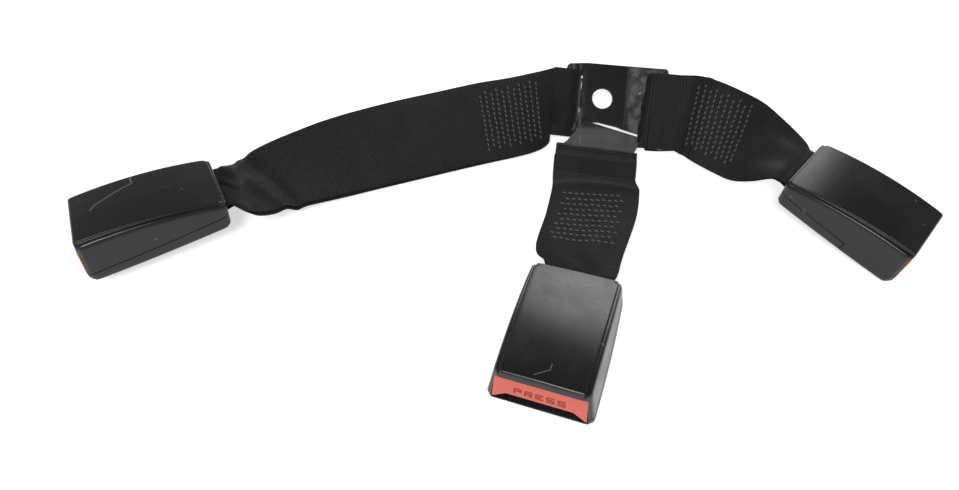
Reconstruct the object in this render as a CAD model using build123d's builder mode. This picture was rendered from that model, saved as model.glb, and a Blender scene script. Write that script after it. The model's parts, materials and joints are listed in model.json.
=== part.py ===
"""Rear seat belt buckle set: three press-button buckles on sewn webbing, held by one bolted bracket.

Millimetres, +Z up. The origin is the centre of the anchor bolt hole. The set lies on a floor
FLOOR below it, as it was laid down: the long strap to the left, a short one to the right and
a short one towards the front. Each buckle is modelled in its own frame, x from its rear edge
to its nose, z up from its base, and is then set down three times.
"""

from build123d import *
from math import cos, pi, radians, sin
import os

os.makedirs("parts", exist_ok=True)

# Where the set lies
FLOOR = -17.0  # the floor, below the middle of the bolt hole

# Steel frame's half width, which the shell, the button and the loops follow
frame_half = 18.5
frame_wall = 1.6
frame_inner_half = frame_half - frame_wall

# Buckle shell
shell_length = 66.0  # along the top, rear edge to nose
shell_rear_height = 11.8
shell_nose_height = 21.3
shell_crown = 2.6  # rise of the arched top above a straight line, at mid length
shell_side_room = 2.25  # from the frame's side to the shell's at its top
shell_side_draft = 2.9
shell_top_half = frame_half + shell_side_room
shell_base_half = shell_top_half + shell_side_draft
shell_belly = 0.7  # how far the sides bow out at mid length
nose_rake = 3.9  # the base runs this far past the top at the nose
rear_rake = 2.4  # and starts this far in at the rear
shell_wall = 2.0
floor_wall = 1.4
nose_corner_ease = 1.6
rear_corner_ease = 2.8
foot_ease = 2.7  # bevel between the base and the nose face
shell_top_ease = 1.1  # bevel round the top's rim
shell_base_ease = 1.0
shell_end_reach = 6.0  # the sides' curve runs on this far past both ends
blank_half = shell_base_half + 4.35  # the wedge before its sides are cut
side_reach = blank_half + 12.0  # well outside it
side_cut_height = 40.0
panel_step_rear = 0.6  # the top panel stands this proud of its shoulder
panel_step_nose = 1.3
panel_margin = 1.9  # width of the shoulder
seam_height = 5.0  # where the covers meet
step_place = shell_length - 25.0  # on one side the lower cover's strip ends here
step_height = 1.2
step_lap = 0.5  # the strip starts this far outside the cheeks' inner ends

# Mouth for the tongue, and the press button above it
mouth_floor = 2.0
mouth_top = 8.0
mouth_depth = 8.0  # through the nose wall, from the shell's top edge both ways
button_top = 17.0
button_side_wall = 1.35
button_draft = 1.0
button_top_half = shell_top_half - button_side_wall
button_ear_half = button_top_half + button_draft
button_ear_low = 4.2
button_ear_inner = button_top_half - 4.4
button_ear_slant = 4.0  # the ears' inner edges lean by this
mouth_half = button_ear_inner + 3.0
cheek_outer = shell_top_half + 0.05
cheek_front_inner = cheek_outer - 2.2
cheek_rear_inner = cheek_outer - 7.3
step_side = cheek_rear_inner + step_lap
cheek_setback = 3.2  # how far the cheeks stop behind the nose face
button_face_wall = 2.6
button_depth = 11.0
button_wall = 1.2
button_gap = 0.3
button_travel = 6.0
button_edge_radius = 0.5
arm_half_in = 10.5
arm_half_out = 13.5
arm_low = 10.6
arm_high = 14.0

# Webbing bar at the rear of the frame
bar_place = 9.0
bar_height = 6.0
bar_radius = 1.8

# The frame's other sizes
frame_front = shell_length - 8.0
frame_rear = bar_place - 5.0
frame_floor_start = bar_place + 7.0
frame_ramp = 4.0  # the rear's under edge rises over this length
frame_rear_low = 2.0
frame_side_height = 8.1
frame_run = frame_front - bar_place
pivot_ear_height = 13.0
pivot_ear_length = 12.0
latch_window_start = frame_front - 11.0
latch_window_length = 9.0
latch_window_half = 9.0
spring_tab_place = bar_place + 0.265 * frame_run
spring_tab_half = 4.0
spring_tab_height = 8.0

# Latch, its pin and the lock slider
pin_place = bar_place + 0.388 * frame_run
pin_height = 10.6
pin_radius = 1.5
pin_clearance = 0.05
latch_hub_radius = 2.5
latch_half = 8.0
latch_plate_low = 10.0
latch_plate_wall = 2.0
latch_tooth_start = frame_front - 7.0
latch_tooth_length = 3.5
latch_tooth_low = 8.3
lock_start = frame_front - 18.0
lock_length = 6.0
lock_wall = 1.8
lock_gap = 0.3

# Ejector and the two springs
ejector_front = frame_front - 8.0
ejector_length = 6.0
ejector_half = 9.0
ejector_gap = 0.2
ejector_high = 7.7
spring_wire = 0.5
spring_steps = 6  # straight lengths in each turn
ejector_spring_radius = 1.9
ejector_spring_turns = 5.0
button_spring_radius = 1.3
button_spring_height = 14.3
button_spring_turns = 4.5
spring_post_wall = 1.8
spring_post_half = 3.0
spring_gap = 0.4

# Webbing
webbing_width = 47.0
webbing_wall = 1.2  # one layer
strap_wall = 2.0 * webbing_wall
facet_length = 7.0  # the straps are made of flat facets about this long
loop_clearance = 0.3
loop_side_gap = 0.65  # between a loop and what it passes through, each side
buckle_loop_width = 2.0 * (frame_inner_half - loop_side_gap)
bracket_loop_reach = 10.0  # from the bar's middle to where the two layers meet
bracket_loop_slack = 3.3  # the loops sag this far across their slots
buckle_loop_reach = bar_place + 2.0
throat_height = 7.4  # the rear opening that the strap passes through
throat_half = frame_half - 0.1
throat_depth = 6.0

# Anchor bracket
plate_wall = 2.5
plate_tilt = 38.0  # the plate leans back from the floor by this
plate_turn = -3.0
plate_top = 20.0
plate_bottom = -30.0
bolt_hole_radius = 6.0
left_fold = -10.5
left_wing_length = 13.6
left_wing_bend = 20.0
right_fold = 14.0
right_wing_length = 23.0
right_wing_bend = 25.0
fold_radius = 4.0
bar_width = 6.0
slot_width = 5.5
left_slot_length = 28.0
left_slot_middle = -1.0
left_flare_width = 36.0  # the loop's width where its two layers meet
right_slot_length = 33.0
right_slot_middle = -7.3
right_flare_width = 42.0
slot_corner = 1.0
# The stamping's outline, seen square on to the plate
plate_outline = [
    (-23.8, 10.0),
    (-21.8, 19.0),
    (-20.6, plate_top),
    (14.0, plate_top),
    (33.5, 17.4),
    (37.0, 13.5),
    (37.0, -29.0),
    (24.0, -26.4),
    (22.0, -19.8),
    (10.0, -16.0),
    (-1.0, -14.2),
    (-9.0, -14.6),
    (-12.0, -20.0),
    (-18.0, -20.0),
    (-23.8, -18.6),
]

# Front tab of the bracket, which carries the middle strap
tab_bar_place = (-6.2, -44.9, -9.0)
tab_turn = -6.0
tab_slope = 2.0
tab_slot_length = 36.0
tab_side = 2.6
tab_half = tab_slot_length / 2.0 + tab_side
middle_flare_width = 44.0
# The tab's outline, from the middle of its bar
tab_outline = [
    (-tab_half, -bar_width / 2.0),
    (tab_half, -bar_width / 2.0),
    (tab_half, 8.4),
    (25.1, 20.3),
    (25.1, 23.6),
    (-3.5, 31.2),
    (-3.5, 36.0),
    (-10.0, 36.0),
    (-8.0, 30.4),
    (-16.6, 14.0),
    (-tab_half, 8.4),
]

# Where the three buckles lie: rear edge middle, then turn, nose-down pitch and roll
buckle_places = {
    "left": ((-201.1, -82.8, -9.75), 212.5, 3.5, 8.1),
    "right": ((101.8, -49.3, -5.55), -42.1, 9.1, 1.4),
    "middle": ((-19.9, -123.1, -14.8), -106.8, -1.4, 5.9),
}

# How each strap runs between its loops: middle x, y, z, then the heading and the lean of the
# width direction in degrees, and the width
strap_stations = {
    "left": [
        (-33.5, -7.0, -2.9, 97.0, 34.0, 42.0),
        (-45.5, -13.5, -3.5, 101.0, 30.0, webbing_width),
        (-78.5, -25.5, -5.0, 104.5, 26.0, webbing_width),
        (-110.5, -38.0, -5.8, 108.0, 24.0, webbing_width),
        (-141.8, -50.5, -6.9, 111.0, 19.0, webbing_width),
        (-171.0, -64.5, -8.0, 115.0, 7.0, webbing_width),
        (-188.5, -75.0, -6.4, 120.0, -4.0, 43.0),
    ],
    "right": [
        (47.0, -18.0, 6.0, 79.0, 40.0, 45.0),
        (57.0, -23.3, 5.4, 76.0, 42.0, webbing_width),
        (67.0, -28.0, 4.0, 72.0, 40.0, webbing_width),
        (78.5, -32.0, 1.8, 65.0, 29.0, webbing_width),
        (89.5, -37.5, 0.6, 57.0, 14.0, 43.0),
    ],
    "middle": [
        (-6.9, -64.0, -10.4, -1.0, 0.0, webbing_width),
        (-10.5, -82.0, -11.4, -2.0, 2.0, webbing_width),
        (-18.0, -107.0, -9.6, -8.0, 4.0, 42.0),
    ],
}


def direction(heading, lean):
    """The unit vector with this heading in plan and this rise, both in degrees."""
    level = cos(radians(lean))
    return Vector(level * cos(radians(heading)), level * sin(radians(heading)), sin(radians(lean)))


def mean(a, b):
    return (a + b) / 2.0


def shell_height(x):
    """Height of the arched top at x."""
    share = x / shell_length
    line = shell_rear_height + (shell_nose_height - shell_rear_height) * share
    return line + 4.0 * shell_crown * share * (1.0 - share)


# The nose face leans forward at its foot and the rear face leans in at its foot
slope_of_nose = nose_rake / shell_nose_height
slope_of_rear = rear_rake / shell_rear_height
slope_of_side = (shell_base_half - shell_top_half) / mean(shell_rear_height, shell_nose_height)
nose_plane = Plane(
    origin=(shell_length + nose_rake, 0, 0),
    x_dir=(0, 1, 0),
    z_dir=(shell_nose_height, 0, nose_rake),
)


def nose_x(z):
    """Where the nose face is at height z."""
    return shell_length + nose_rake - slope_of_nose * z


def rear_x(z):
    """Where the rear face is at height z."""
    return rear_rake - slope_of_rear * z


def make_wedge(low, nose_drop, rear_drop, inset, nose_back, rear_back, foot=0.0):
    """A wedge with the shell's curves, from height low to these drops under its top, and inset."""
    nose_high = shell_nose_height - nose_drop
    rear_high = shell_rear_height - rear_drop
    nose_top = (nose_x(nose_high) - nose_back, nose_high)
    rear_top = (rear_x(rear_high) + rear_back, rear_high)
    nose_foot = (nose_x(low) - nose_back, low)
    rear_foot = (rear_x(low) + rear_back, low)
    middle = shell_length / 2.0
    with BuildPart() as wedge:
        with BuildSketch(Plane.XZ.offset(-blank_half)):
            with BuildLine():
                Polyline(rear_top, rear_foot, nose_foot, nose_top)
                crest = (middle, shell_height(middle) - mean(nose_drop, rear_drop))
                ThreePointArc(nose_top, crest, rear_top)
            outline = make_face()
            if foot > 0.0:
                chamfer(outline.vertices().sort_by_distance((nose_foot[0], 0, low))[0], foot)
        extrude(amount=2.0 * blank_half)
        # Each side leans in and bows out a little
        for side in (1, -1):
            half = side * (shell_base_half - inset)
            rear_end = (-shell_end_reach, half)
            nose_end = (shell_length + shell_end_reach, half)
            with BuildSketch(Plane.XY):
                with BuildLine():
                    ThreePointArc(rear_end, (middle, half + side * shell_belly), nose_end)
                    far = side * side_reach
                    Polyline(nose_end, (nose_end[0], far), (rear_end[0], far), rear_end)
                make_face()
            extrude(
                amount=side_cut_height,
                dir=(0, -side * slope_of_side, 1),
                mode=Mode.SUBTRACT,
            )
    return wedge.part


def make_shell():
    """The whole shell before it is parted at the seam."""
    panel_end = 0.5 * panel_margin
    with BuildPart() as shell:
        add(make_wedge(0.0, panel_step_nose, panel_step_rear, 0.0, 0.0, 0.0, foot_ease))
        # Ease its upright corners, with the foot's before the nose's, then the rims
        middle = shell_length / 2.0
        upright = shell.edges().filter_by(lambda e: abs(e.tangent_at(0.5).Z) > 0.9)
        chamfer(upright.filter_by_position(Axis.X, -middle, middle), rear_corner_ease)
        foot = shell.edges().filter_by(lambda e: 0.3 < abs(e.tangent_at(0.5).Z) < 0.9)
        chamfer(foot.filter_by_position(Axis.X, middle, 2.0 * shell_length), nose_corner_ease)
        upright = shell.edges().filter_by(lambda e: abs(e.tangent_at(0.5).Z) > 0.9)
        chamfer(upright.filter_by_position(Axis.X, middle, 2.0 * shell_length), nose_corner_ease)
        top = shell.faces().sort_by(Axis.Z)[-1]
        base = shell.faces().sort_by(Axis.Z)[0]
        chamfer(top.edges(), length=shell_top_ease)
        chamfer(base.edges(), length=shell_base_ease)
        add(make_wedge(seam_height, 0.0, 0.0, panel_margin, panel_end, panel_end))
        inner_foot = foot_ease / 2.0
        inside = make_wedge(
            floor_wall, shell_wall, shell_wall, shell_wall, shell_wall, shell_wall, inner_foot
        )
        add(inside, mode=Mode.SUBTRACT)
        # Room for the button, with its sides drafted as the shell's are
        with BuildSketch(nose_plane.offset(1.0)):
            with BuildLine():
                Polyline(
                    (-button_top_half - button_gap, button_top + button_gap),
                    (button_top_half + button_gap, button_top + button_gap),
                    (button_ear_half + button_gap, button_ear_low - button_gap),
                    (-button_ear_half - button_gap, button_ear_low - button_gap),
                    close=True,
                )
            make_face()
        extrude(amount=button_depth + button_travel + 3.0, dir=(-1, 0, 0), mode=Mode.SUBTRACT)
        # The mouth under it
        with Locations((shell_length, 0, mean(mouth_floor, mouth_top))):
            Box(2.0 * mouth_depth, 2.0 * mouth_half, mouth_top - mouth_floor, mode=Mode.SUBTRACT)
        # The throat for the strap
        with Locations((0, 0, bar_height)):
            Box(2.0 * throat_depth, 2.0 * throat_half, throat_height, mode=Mode.SUBTRACT)
    return shell.part


def make_parting():
    """What belongs to the lower cover: up to the seam, and less along one side of the nose."""
    with BuildPart() as parting:
        with Locations((shell_length / 2.0, 0, seam_height)):
            Box(
                2.0 * shell_length,
                2.0 * side_reach,
                2.0 * seam_height,
                align=(Align.CENTER, Align.CENTER, Align.MAX),
            )
        with Locations((step_place, -step_side, step_height)):
            Box(
                shell_length,
                side_reach,
                seam_height,
                align=(Align.MIN, Align.MAX, Align.MIN),
                mode=Mode.SUBTRACT,
            )
    return parting.part


def make_covers():
    shell = make_shell()
    parting = make_parting()
    with BuildPart() as bottom_cover:
        add(shell)
        add(parting, mode=Mode.INTERSECT)
        # Cheeks that funnel the tongue in, one each side
        cheek_front = nose_x(button_ear_low) - cheek_setback
        for side in (1, -1):
            with BuildSketch(Plane.XY.offset(floor_wall)):
                with BuildLine():
                    Polyline(
                        (frame_front + button_gap, side * cheek_rear_inner),
                        (cheek_front, side * cheek_front_inner),
                        (cheek_front, side * cheek_outer),
                        (frame_front + button_gap, side * cheek_outer),
                        close=True,
                    )
                make_face()
            extrude(amount=button_ear_low - 2.0 * button_gap - floor_wall)
    with BuildPart() as top_cover:
        add(shell)
        add(parting, mode=Mode.SUBTRACT)
        # The post that the button's spring pushes against, hanging from the roof
        post_front = spring_post_start() + spring_post_wall
        post_low = latch_plate_low + latch_plate_wall + 0.6
        post_high = shell_height(spring_post_start()) - shell_wall + 0.6
        with Locations((mean(spring_post_start(), post_front), 0, mean(post_low, post_high))):
            Box(spring_post_wall, 2.0 * spring_post_half, post_high - post_low)
    return top_cover.part, bottom_cover.part


def spring_post_start():
    return lock_start + lock_length + lock_gap


def make_button():
    """Face with two ears, a roof and sides behind it, and two arms that push the lock slider."""
    ear_root = button_ear_inner - 1.6
    with BuildPart() as button:
        with BuildSketch(nose_plane):
            with BuildLine():
                Polyline(
                    (-button_top_half, button_top),
                    (button_top_half, button_top),
                    (button_ear_half, button_ear_low),
                    (ear_root + button_ear_slant, button_ear_low),
                    (ear_root, mouth_top),
                    (-ear_root, mouth_top),
                    (-ear_root - button_ear_slant, button_ear_low),
                    (-button_ear_half, button_ear_low),
                    close=True,
                )
            make_face()
        extrude(amount=button_depth, dir=(-1, 0, 0))
        rear = nose_x(0.0) - button_depth - 5.0
        front = nose_x(button_top) - button_face_wall
        inner_half = button_top_half - button_wall
        with Locations((mean(rear, front), 0, mean(0.0, button_top - button_wall))):
            Box(front - rear, 2.0 * inner_half, button_top - button_wall, mode=Mode.SUBTRACT)
        with Locations((mean(rear, front), 0, mean(0.0, mouth_top + 0.4))):
            Box(front - rear, 2.0 * side_reach, mouth_top + 0.4, mode=Mode.SUBTRACT)
        rim = button.edges().filter_by_position(Axis.X, nose_x(button_top) - 0.1, 90.0)
        fillet(rim.filter_by(lambda e: abs(e.tangent_at(0.5).Y) > 0.99), radius=button_edge_radius)
        arm_rear = lock_start + lock_length + lock_gap
        arm_front = front + 0.5
        arm_middle = mean(arm_half_in, arm_half_out)
        for side in (1, -1):
            with Locations((mean(arm_rear, arm_front), side * arm_middle, mean(arm_low, arm_high))):
                Box(arm_front - arm_rear, arm_half_out - arm_half_in, arm_high - arm_low)
    return button.part


def make_frame():
    """Folded steel channel: floor, two sides, ears for the latch pin and for the webbing bar."""
    with BuildPart() as frame:
        with BuildSketch(Plane.XZ.offset(-frame_half)):
            with BuildLine():
                Polyline(
                    (frame_rear, frame_rear_low),
                    (frame_rear, frame_side_height),
                    (pin_place - pivot_ear_length / 2.0, frame_side_height),
                    (pin_place - pivot_ear_length / 2.0, pivot_ear_height),
                    (pin_place + pivot_ear_length / 2.0, pivot_ear_height),
                    (pin_place + pivot_ear_length / 2.0, frame_side_height),
                    (frame_front, frame_side_height),
                    (frame_front, floor_wall),
                    (frame_floor_start, floor_wall),
                    (frame_floor_start - frame_ramp, frame_rear_low),
                    close=True,
                )
            make_face()
        extrude(amount=2.0 * frame_half)
        # Hollow it between the two sides
        inner = 2.0 * frame_inner_half
        with Locations((shell_length / 2.0, 0, floor_wall + frame_wall)):
            Box(
                shell_length,
                inner,
                pivot_ear_height,
                align=(Align.CENTER, Align.CENTER, Align.MIN),
                mode=Mode.SUBTRACT,
            )
        with Locations((frame_floor_start / 2.0, 0, floor_wall)):
            Box(frame_floor_start, inner, 2.0 * frame_side_height, mode=Mode.SUBTRACT)
        with Locations((latch_window_start + latch_window_length / 2.0, 0, floor_wall)):
            Box(
                latch_window_length,
                2.0 * latch_window_half,
                3.0 * frame_wall,
                mode=Mode.SUBTRACT,
            )
        # Tab bent up from the floor, the seat of the ejector's spring
        tab_middle = spring_tab_place + frame_wall / 2.0
        with Locations((tab_middle, 0, mean(floor_wall, spring_tab_height))):
            Box(frame_wall, 2.0 * spring_tab_half, spring_tab_height - floor_wall)
        # Round holes for the bar and the pin
        with Locations(Plane.XZ.offset(-side_reach)):
            with Locations((bar_place, bar_height)):
                Hole(radius=bar_radius, depth=2.0 * side_reach)
            with Locations((pin_place, pin_height)):
                Hole(radius=pin_radius, depth=2.0 * side_reach)
    return frame.part


def make_bar():
    """Riveted bar through the frame's rear ears, which the webbing loops around."""
    with BuildPart() as bar:
        with BuildSketch(Plane.XZ.offset(-frame_half)):
            with Locations((bar_place, bar_height)):
                Circle(bar_radius)
        extrude(amount=2.0 * frame_half)
    return bar.part


def make_latch_pin():
    with BuildPart() as pin:
        with BuildSketch(Plane.XZ.offset(-frame_half)):
            with Locations((pin_place, pin_height)):
                Circle(pin_radius)
        extrude(amount=2.0 * frame_half)
    return pin.part


def make_latch():
    """Steel pawl: a hub on the pin, a plate forward and a tooth that drops into the tongue."""
    plate_high = latch_plate_low + latch_plate_wall
    tooth_end = latch_tooth_start + latch_tooth_length
    with BuildPart() as latch:
        with BuildSketch(Plane.XZ.offset(-latch_half)):
            with Locations((pin_place, pin_height)):
                Circle(latch_hub_radius)
            with BuildLine():
                Polyline(
                    (pin_place, latch_plate_low),
                    (latch_tooth_start, latch_plate_low),
                    (latch_tooth_start, latch_tooth_low),
                    (tooth_end - 1.5, latch_tooth_low),
                    (tooth_end, latch_plate_low),
                    (tooth_end, plate_high),
                    (pin_place, plate_high),
                    close=True,
                )
            make_face()
            with Locations((pin_place, pin_height)):
                Circle(pin_radius + pin_clearance, mode=Mode.SUBTRACT)
        extrude(amount=2.0 * latch_half)
    return latch.part


def make_lock_slider():
    """Cross bar that the button pushes back, with a stiffening rib, lying over the latch."""
    low = latch_plate_low + latch_plate_wall + lock_gap
    lock_middle = lock_start + lock_length / 2.0
    foot_middle = mean(arm_half_in, arm_half_out)
    with BuildPart() as lock:
        with Locations((lock_middle, 0, low + lock_wall / 2.0)):
            Box(lock_length, 2.0 * arm_half_out, lock_wall)
        for side in (1, -1):
            with Locations((lock_middle, side * foot_middle, mean(arm_low, low))):
                Box(lock_length, arm_half_out - arm_half_in, low - arm_low)
    return lock.part


def make_ejector():
    """Sliding block that the tongue pushes back, with a nose for its spring."""
    low = floor_wall + frame_wall + ejector_gap
    middle = ejector_front - ejector_length / 2.0
    with BuildPart() as ejector:
        with Locations((middle, 0, mean(low, ejector_high))):
            Box(ejector_length, 2.0 * ejector_half, ejector_high - low)
        chamfer(ejector.faces().sort_by(Axis.X)[-1].edges().filter_by(Axis.Y), length=0.8)
    return ejector.part


def make_spring(start, end, height, radius, turns):
    """Coil of square wire along x, from start to end, in short straight lengths."""
    length = end - start - spring_wire
    steps = int(turns * spring_steps)
    points = []
    for n in range(steps + 1):
        angle = 2.0 * pi * n / spring_steps
        x = start + spring_wire / 2.0 + length * n / steps
        points.append((x, radius * cos(angle), height + radius * sin(angle)))
    with BuildPart() as spring:
        with BuildLine() as coil:
            Polyline(*points)
        with BuildSketch(Plane(origin=coil.line @ 0, x_dir=(1, 0, 0), z_dir=coil.line % 0)):
            Rectangle(spring_wire, spring_wire)
        sweep(transition=Transition.RIGHT)
    return spring.part


def make_ejector_spring():
    return make_spring(
        spring_tab_place + frame_wall + spring_gap,
        ejector_front - ejector_length - spring_gap,
        mean(floor_wall + frame_wall + ejector_gap, ejector_high),
        ejector_spring_radius,
        ejector_spring_turns,
    )


def make_button_spring():
    return make_spring(
        spring_post_start() + spring_post_wall + spring_gap,
        nose_x(button_top) - button_face_wall - spring_gap,
        button_spring_height,
        button_spring_radius,
        button_spring_turns,
    )


def buckle_place(name):
    """Where a buckle's own frame lies in the set's frame."""
    (x, y, z), turn, pitch, roll = buckle_places[name]
    return Pos(x, y, z) * Rot(0, 0, turn) * Rot(0, pitch, 0) * Rot(roll, 0, 0)


# The bracket's own directions: across the plate, up its slope and out of its face
plate_x = direction(plate_turn, 0.0)
plate_up = direction(plate_turn + 90.0, plate_tilt)
plate_out = plate_x.cross(plate_up)
plate_plane = Plane(origin=(0, 0, 0), x_dir=plate_x, z_dir=plate_out)


def wing_plane(fold, bend, side):
    """The wing's mid plane: x out along the wing from its fold, y up the slope."""
    out = plate_x * (side * cos(radians(bend))) + plate_out * (side * sin(radians(bend)))
    return Plane(origin=plate_x * fold, x_dir=out, z_dir=out.cross(plate_up))


left_wing = wing_plane(left_fold, left_wing_bend, -1)
right_wing = wing_plane(right_fold, right_wing_bend, 1)
left_bar = left_wing_length - bar_width / 2.0
right_bar = right_wing_length - bar_width / 2.0

tab_x = direction(tab_turn, 0.0)
tab_out = direction(tab_turn + 90.0, tab_slope)
tab_plane = Plane(origin=tab_bar_place, x_dir=tab_x, z_dir=tab_x.cross(tab_out))


def make_bracket():
    """One stamping: plate with the bolt hole, two slotted wings and a slotted front tab."""
    left_end = (
        left_fold - left_wing_length * cos(radians(left_wing_bend)),
        -left_wing_length * sin(radians(left_wing_bend)),
    )
    right_end = (
        right_fold + right_wing_length * cos(radians(right_wing_bend)),
        right_wing_length * sin(radians(right_wing_bend)),
    )
    with BuildPart() as bracket:
        with BuildSketch(Plane(origin=plate_up * plate_top, x_dir=plate_x, z_dir=-plate_up)):
            with BuildLine():
                FilletPolyline(
                    left_end, (left_fold, 0), (right_fold, 0), right_end, radius=fold_radius
                )
            trace(line_width=plate_wall)
        extrude(amount=plate_top - plate_bottom)
        # The outline, seen square on to the plate
        with BuildSketch(plate_plane.offset(-right_wing_length)):
            with BuildLine():
                Polyline(*plate_outline, close=True)
            make_face()
        extrude(amount=2.0 * right_wing_length, mode=Mode.INTERSECT)
        # The front tab, lying nearly level, lapped and welded on the plate and the right wing
        with BuildSketch(tab_plane.offset(-plate_wall / 2.0)):
            with BuildLine():
                Polyline(*tab_outline, close=True)
            make_face()
        extrude(amount=plate_wall)
        with BuildSketch(tab_plane.offset(-plate_wall)):
            with Locations((0, bar_width / 2.0 + slot_width / 2.0)):
                RectangleRounded(tab_slot_length, slot_width, slot_corner)
        extrude(amount=2.0 * plate_wall, mode=Mode.SUBTRACT)
        # Slots in the wings
        for wing, bar, length, middle in (
            (left_wing, left_bar, left_slot_length, left_slot_middle),
            (right_wing, right_bar, right_slot_length, right_slot_middle),
        ):
            with BuildSketch(wing.offset(-plate_wall)):
                with Locations((bar - bar_width / 2.0 - slot_width / 2.0, middle)):
                    RectangleRounded(slot_width, length, slot_corner)
            extrude(amount=2.0 * plate_wall, mode=Mode.SUBTRACT)
        # The bolt hole
        with BuildSketch(plate_plane.offset(-plate_wall)):
            Circle(bolt_hole_radius)
        extrude(amount=2.0 * plate_wall, mode=Mode.SUBTRACT)
    return bracket.part


def loop_around(plane, reach, inner_radius, slack, width, end_width):
    """A webbing loop about the plane's z axis, closing and flaring towards reach along its x."""
    hubs = [(-back, 0) for back in sorted({0.0, slack})]
    with BuildPart() as loop:
        with BuildSketch(plane):
            with Locations(*hubs):
                Circle(inner_radius + webbing_wall)
            with Locations((reach - 0.5, 0)):
                Rectangle(1.0, strap_wall)
            make_hull()
        extrude(amount=end_width / 2.0, both=True)
        with BuildSketch(plane):
            with Locations(*hubs):
                Circle(inner_radius)
            with Locations((reach - 3.0, 0)):
                Rectangle(0.4, 0.2)
            make_hull()
        extrude(amount=end_width, both=True, mode=Mode.SUBTRACT)
        # Narrow where it passes round the bar
        if end_width > width:
            half = width / 2.0
            end_half = end_width / 2.0
            with BuildSketch(Plane(origin=plane.origin, x_dir=plane.x_dir, z_dir=plane.y_dir)):
                with BuildLine():
                    Polyline(
                        (-2.0 * reach, half),
                        (0, half),
                        (reach, end_half),
                        (reach, -end_half),
                        (0, -half),
                        (-2.0 * reach, -half),
                        close=True,
                    )
                make_face()
            extrude(amount=reach, both=True, mode=Mode.INTERSECT)
    return loop.part


def make_ribbon(stations, ahead_first, ahead_last):
    """Flat webbing through stations of middle, width direction and width, in flat facets."""
    edges = []
    for side in (-1, 1):
        points = [middle + wide * (side * width / 2.0) for middle, wide, width in stations]
        edges.append(Edge.make_spline(points, tangents=(ahead_first, ahead_last)))
    steps = round(edges[0].length / facet_length)
    rings = []
    for n in range(steps + 1):
        low, high = (edge @ (n / steps) for edge in edges)
        ahead = (edges[0] % (n / steps)) + (edges[1] % (n / steps))
        up = ahead.cross(high - low).normalized() * webbing_wall
        rings.append((low - up, high - up, high + up, low + up))
    faces = [Face(Wire.make_polygon(rings[0])), Face(Wire.make_polygon(rings[-1]))]
    for ring, after in zip(rings, rings[1:]):
        for n in range(4):
            m = (n + 1) % 4
            faces.append(Face(Wire.make_polygon((ring[n], ring[m], after[m]))))
            faces.append(Face(Wire.make_polygon((ring[n], after[m], after[n]))))
    return Solid(Shell(faces))


def plate_loop_plane(wing, bar, middle, target):
    """The plane of a loop about a wing's bar, its x axis towards the strap's next station."""
    centre = wing.from_local_coords((bar, middle, 0))
    towards = Vector(*target) - centre
    towards = towards - plate_up * towards.dot(plate_up)
    return Plane(origin=centre, x_dir=towards, z_dir=plate_up)


def strap_end_plane(name):
    """The loop about the buckle's own bar, closing towards the rear."""
    local = Plane(origin=(bar_place, 0, bar_height), x_dir=(-1, 0, 0), z_dir=(0, 1, 0))
    return Plane(buckle_place(name) * local.location)


def make_webbing(name, start_plane, start_radius, slot_length, flare_width):
    """Doubled webbing: a loop at the bracket, the sewn strap and a loop in the buckle."""
    start_width = slot_length - 2.0 * loop_side_gap
    end_plane = strap_end_plane(name)
    start = start_plane.from_local_coords((bracket_loop_reach, 0, 0))
    end = end_plane.from_local_coords((buckle_loop_reach, 0, 0))
    stations = [(start, start_plane.z_dir, flare_width)]
    for x, y, z, heading, lean, width in strap_stations[name]:
        stations.append((Vector(x, y, z), direction(heading, lean), width))
    across = end_plane.z_dir
    if across.dot(stations[-1][1]) < 0:
        across = -across
    stations.append((end, across, buckle_loop_width))
    bracket_loop = loop_around(
        start_plane,
        bracket_loop_reach,
        start_radius,
        bracket_loop_slack,
        start_width,
        flare_width,
    )
    buckle_loop = loop_around(
        end_plane,
        buckle_loop_reach,
        bar_radius + loop_clearance,
        0.0,
        buckle_loop_width,
        buckle_loop_width,
    )
    with BuildPart() as webbing:
        add(make_ribbon(stations, start_plane.x_dir, -end_plane.x_dir))
        add(bracket_loop)
        add(buckle_loop)
    return webbing.part


def write(part, name):
    part.label = name
    export_step(part, f"parts/{name}.step")
    lowest = round(part.bounding_box().min.Z, 2)
    print(name, len(part.solids()), "solids", round(part.volume), "mm3, lowest", lowest)


top_cover, bottom_cover = make_covers()
buckle_pieces = {
    "top_cover": top_cover,
    "bottom_cover": bottom_cover,
    "press_button": make_button(),
    "frame": make_frame(),
    "webbing_bar": make_bar(),
    "latch_pin": make_latch_pin(),
    "latch": make_latch(),
    "lock_slider": make_lock_slider(),
    "ejector": make_ejector(),
    "ejector_spring": make_ejector_spring(),
    "button_spring": make_button_spring(),
}
for side in buckle_places:
    for name, piece in buckle_pieces.items():
        write(buckle_place(side) * piece, f"{side}_{name}")

write(make_bracket(), "anchor_bracket")

plate_radius = Vector(bar_width / 2.0, plate_wall / 2.0).length + loop_clearance
strap_starts = {
    "left": (
        plate_loop_plane(left_wing, left_bar, left_slot_middle, strap_stations["left"][0][:3]),
        left_slot_length,
        left_flare_width,
    ),
    "right": (
        plate_loop_plane(right_wing, right_bar, right_slot_middle, strap_stations["right"][0][:3]),
        right_slot_length,
        right_flare_width,
    ),
    "middle": (
        Plane(origin=tab_bar_place, x_dir=-tab_out, z_dir=tab_x),
        tab_slot_length,
        middle_flare_width,
    ),
}
for side, (plane, slot_length, flare_width) in strap_starts.items():
    webbing = make_webbing(side, plane, plate_radius, slot_length, flare_width)
    write(webbing, f"{side}_webbing")
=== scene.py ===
"""Looks of a rear seat belt buckle set: three press-button buckles on sewn webbing straps, held by
one bolted steel bracket. Shapes are worked out in millimetres and stored in metres."""

import bmesh
import bpy
import json
from math import acos, atan2, cos, exp, pi, radians, sin
from mathutils import Matrix, Vector, noise


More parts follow.
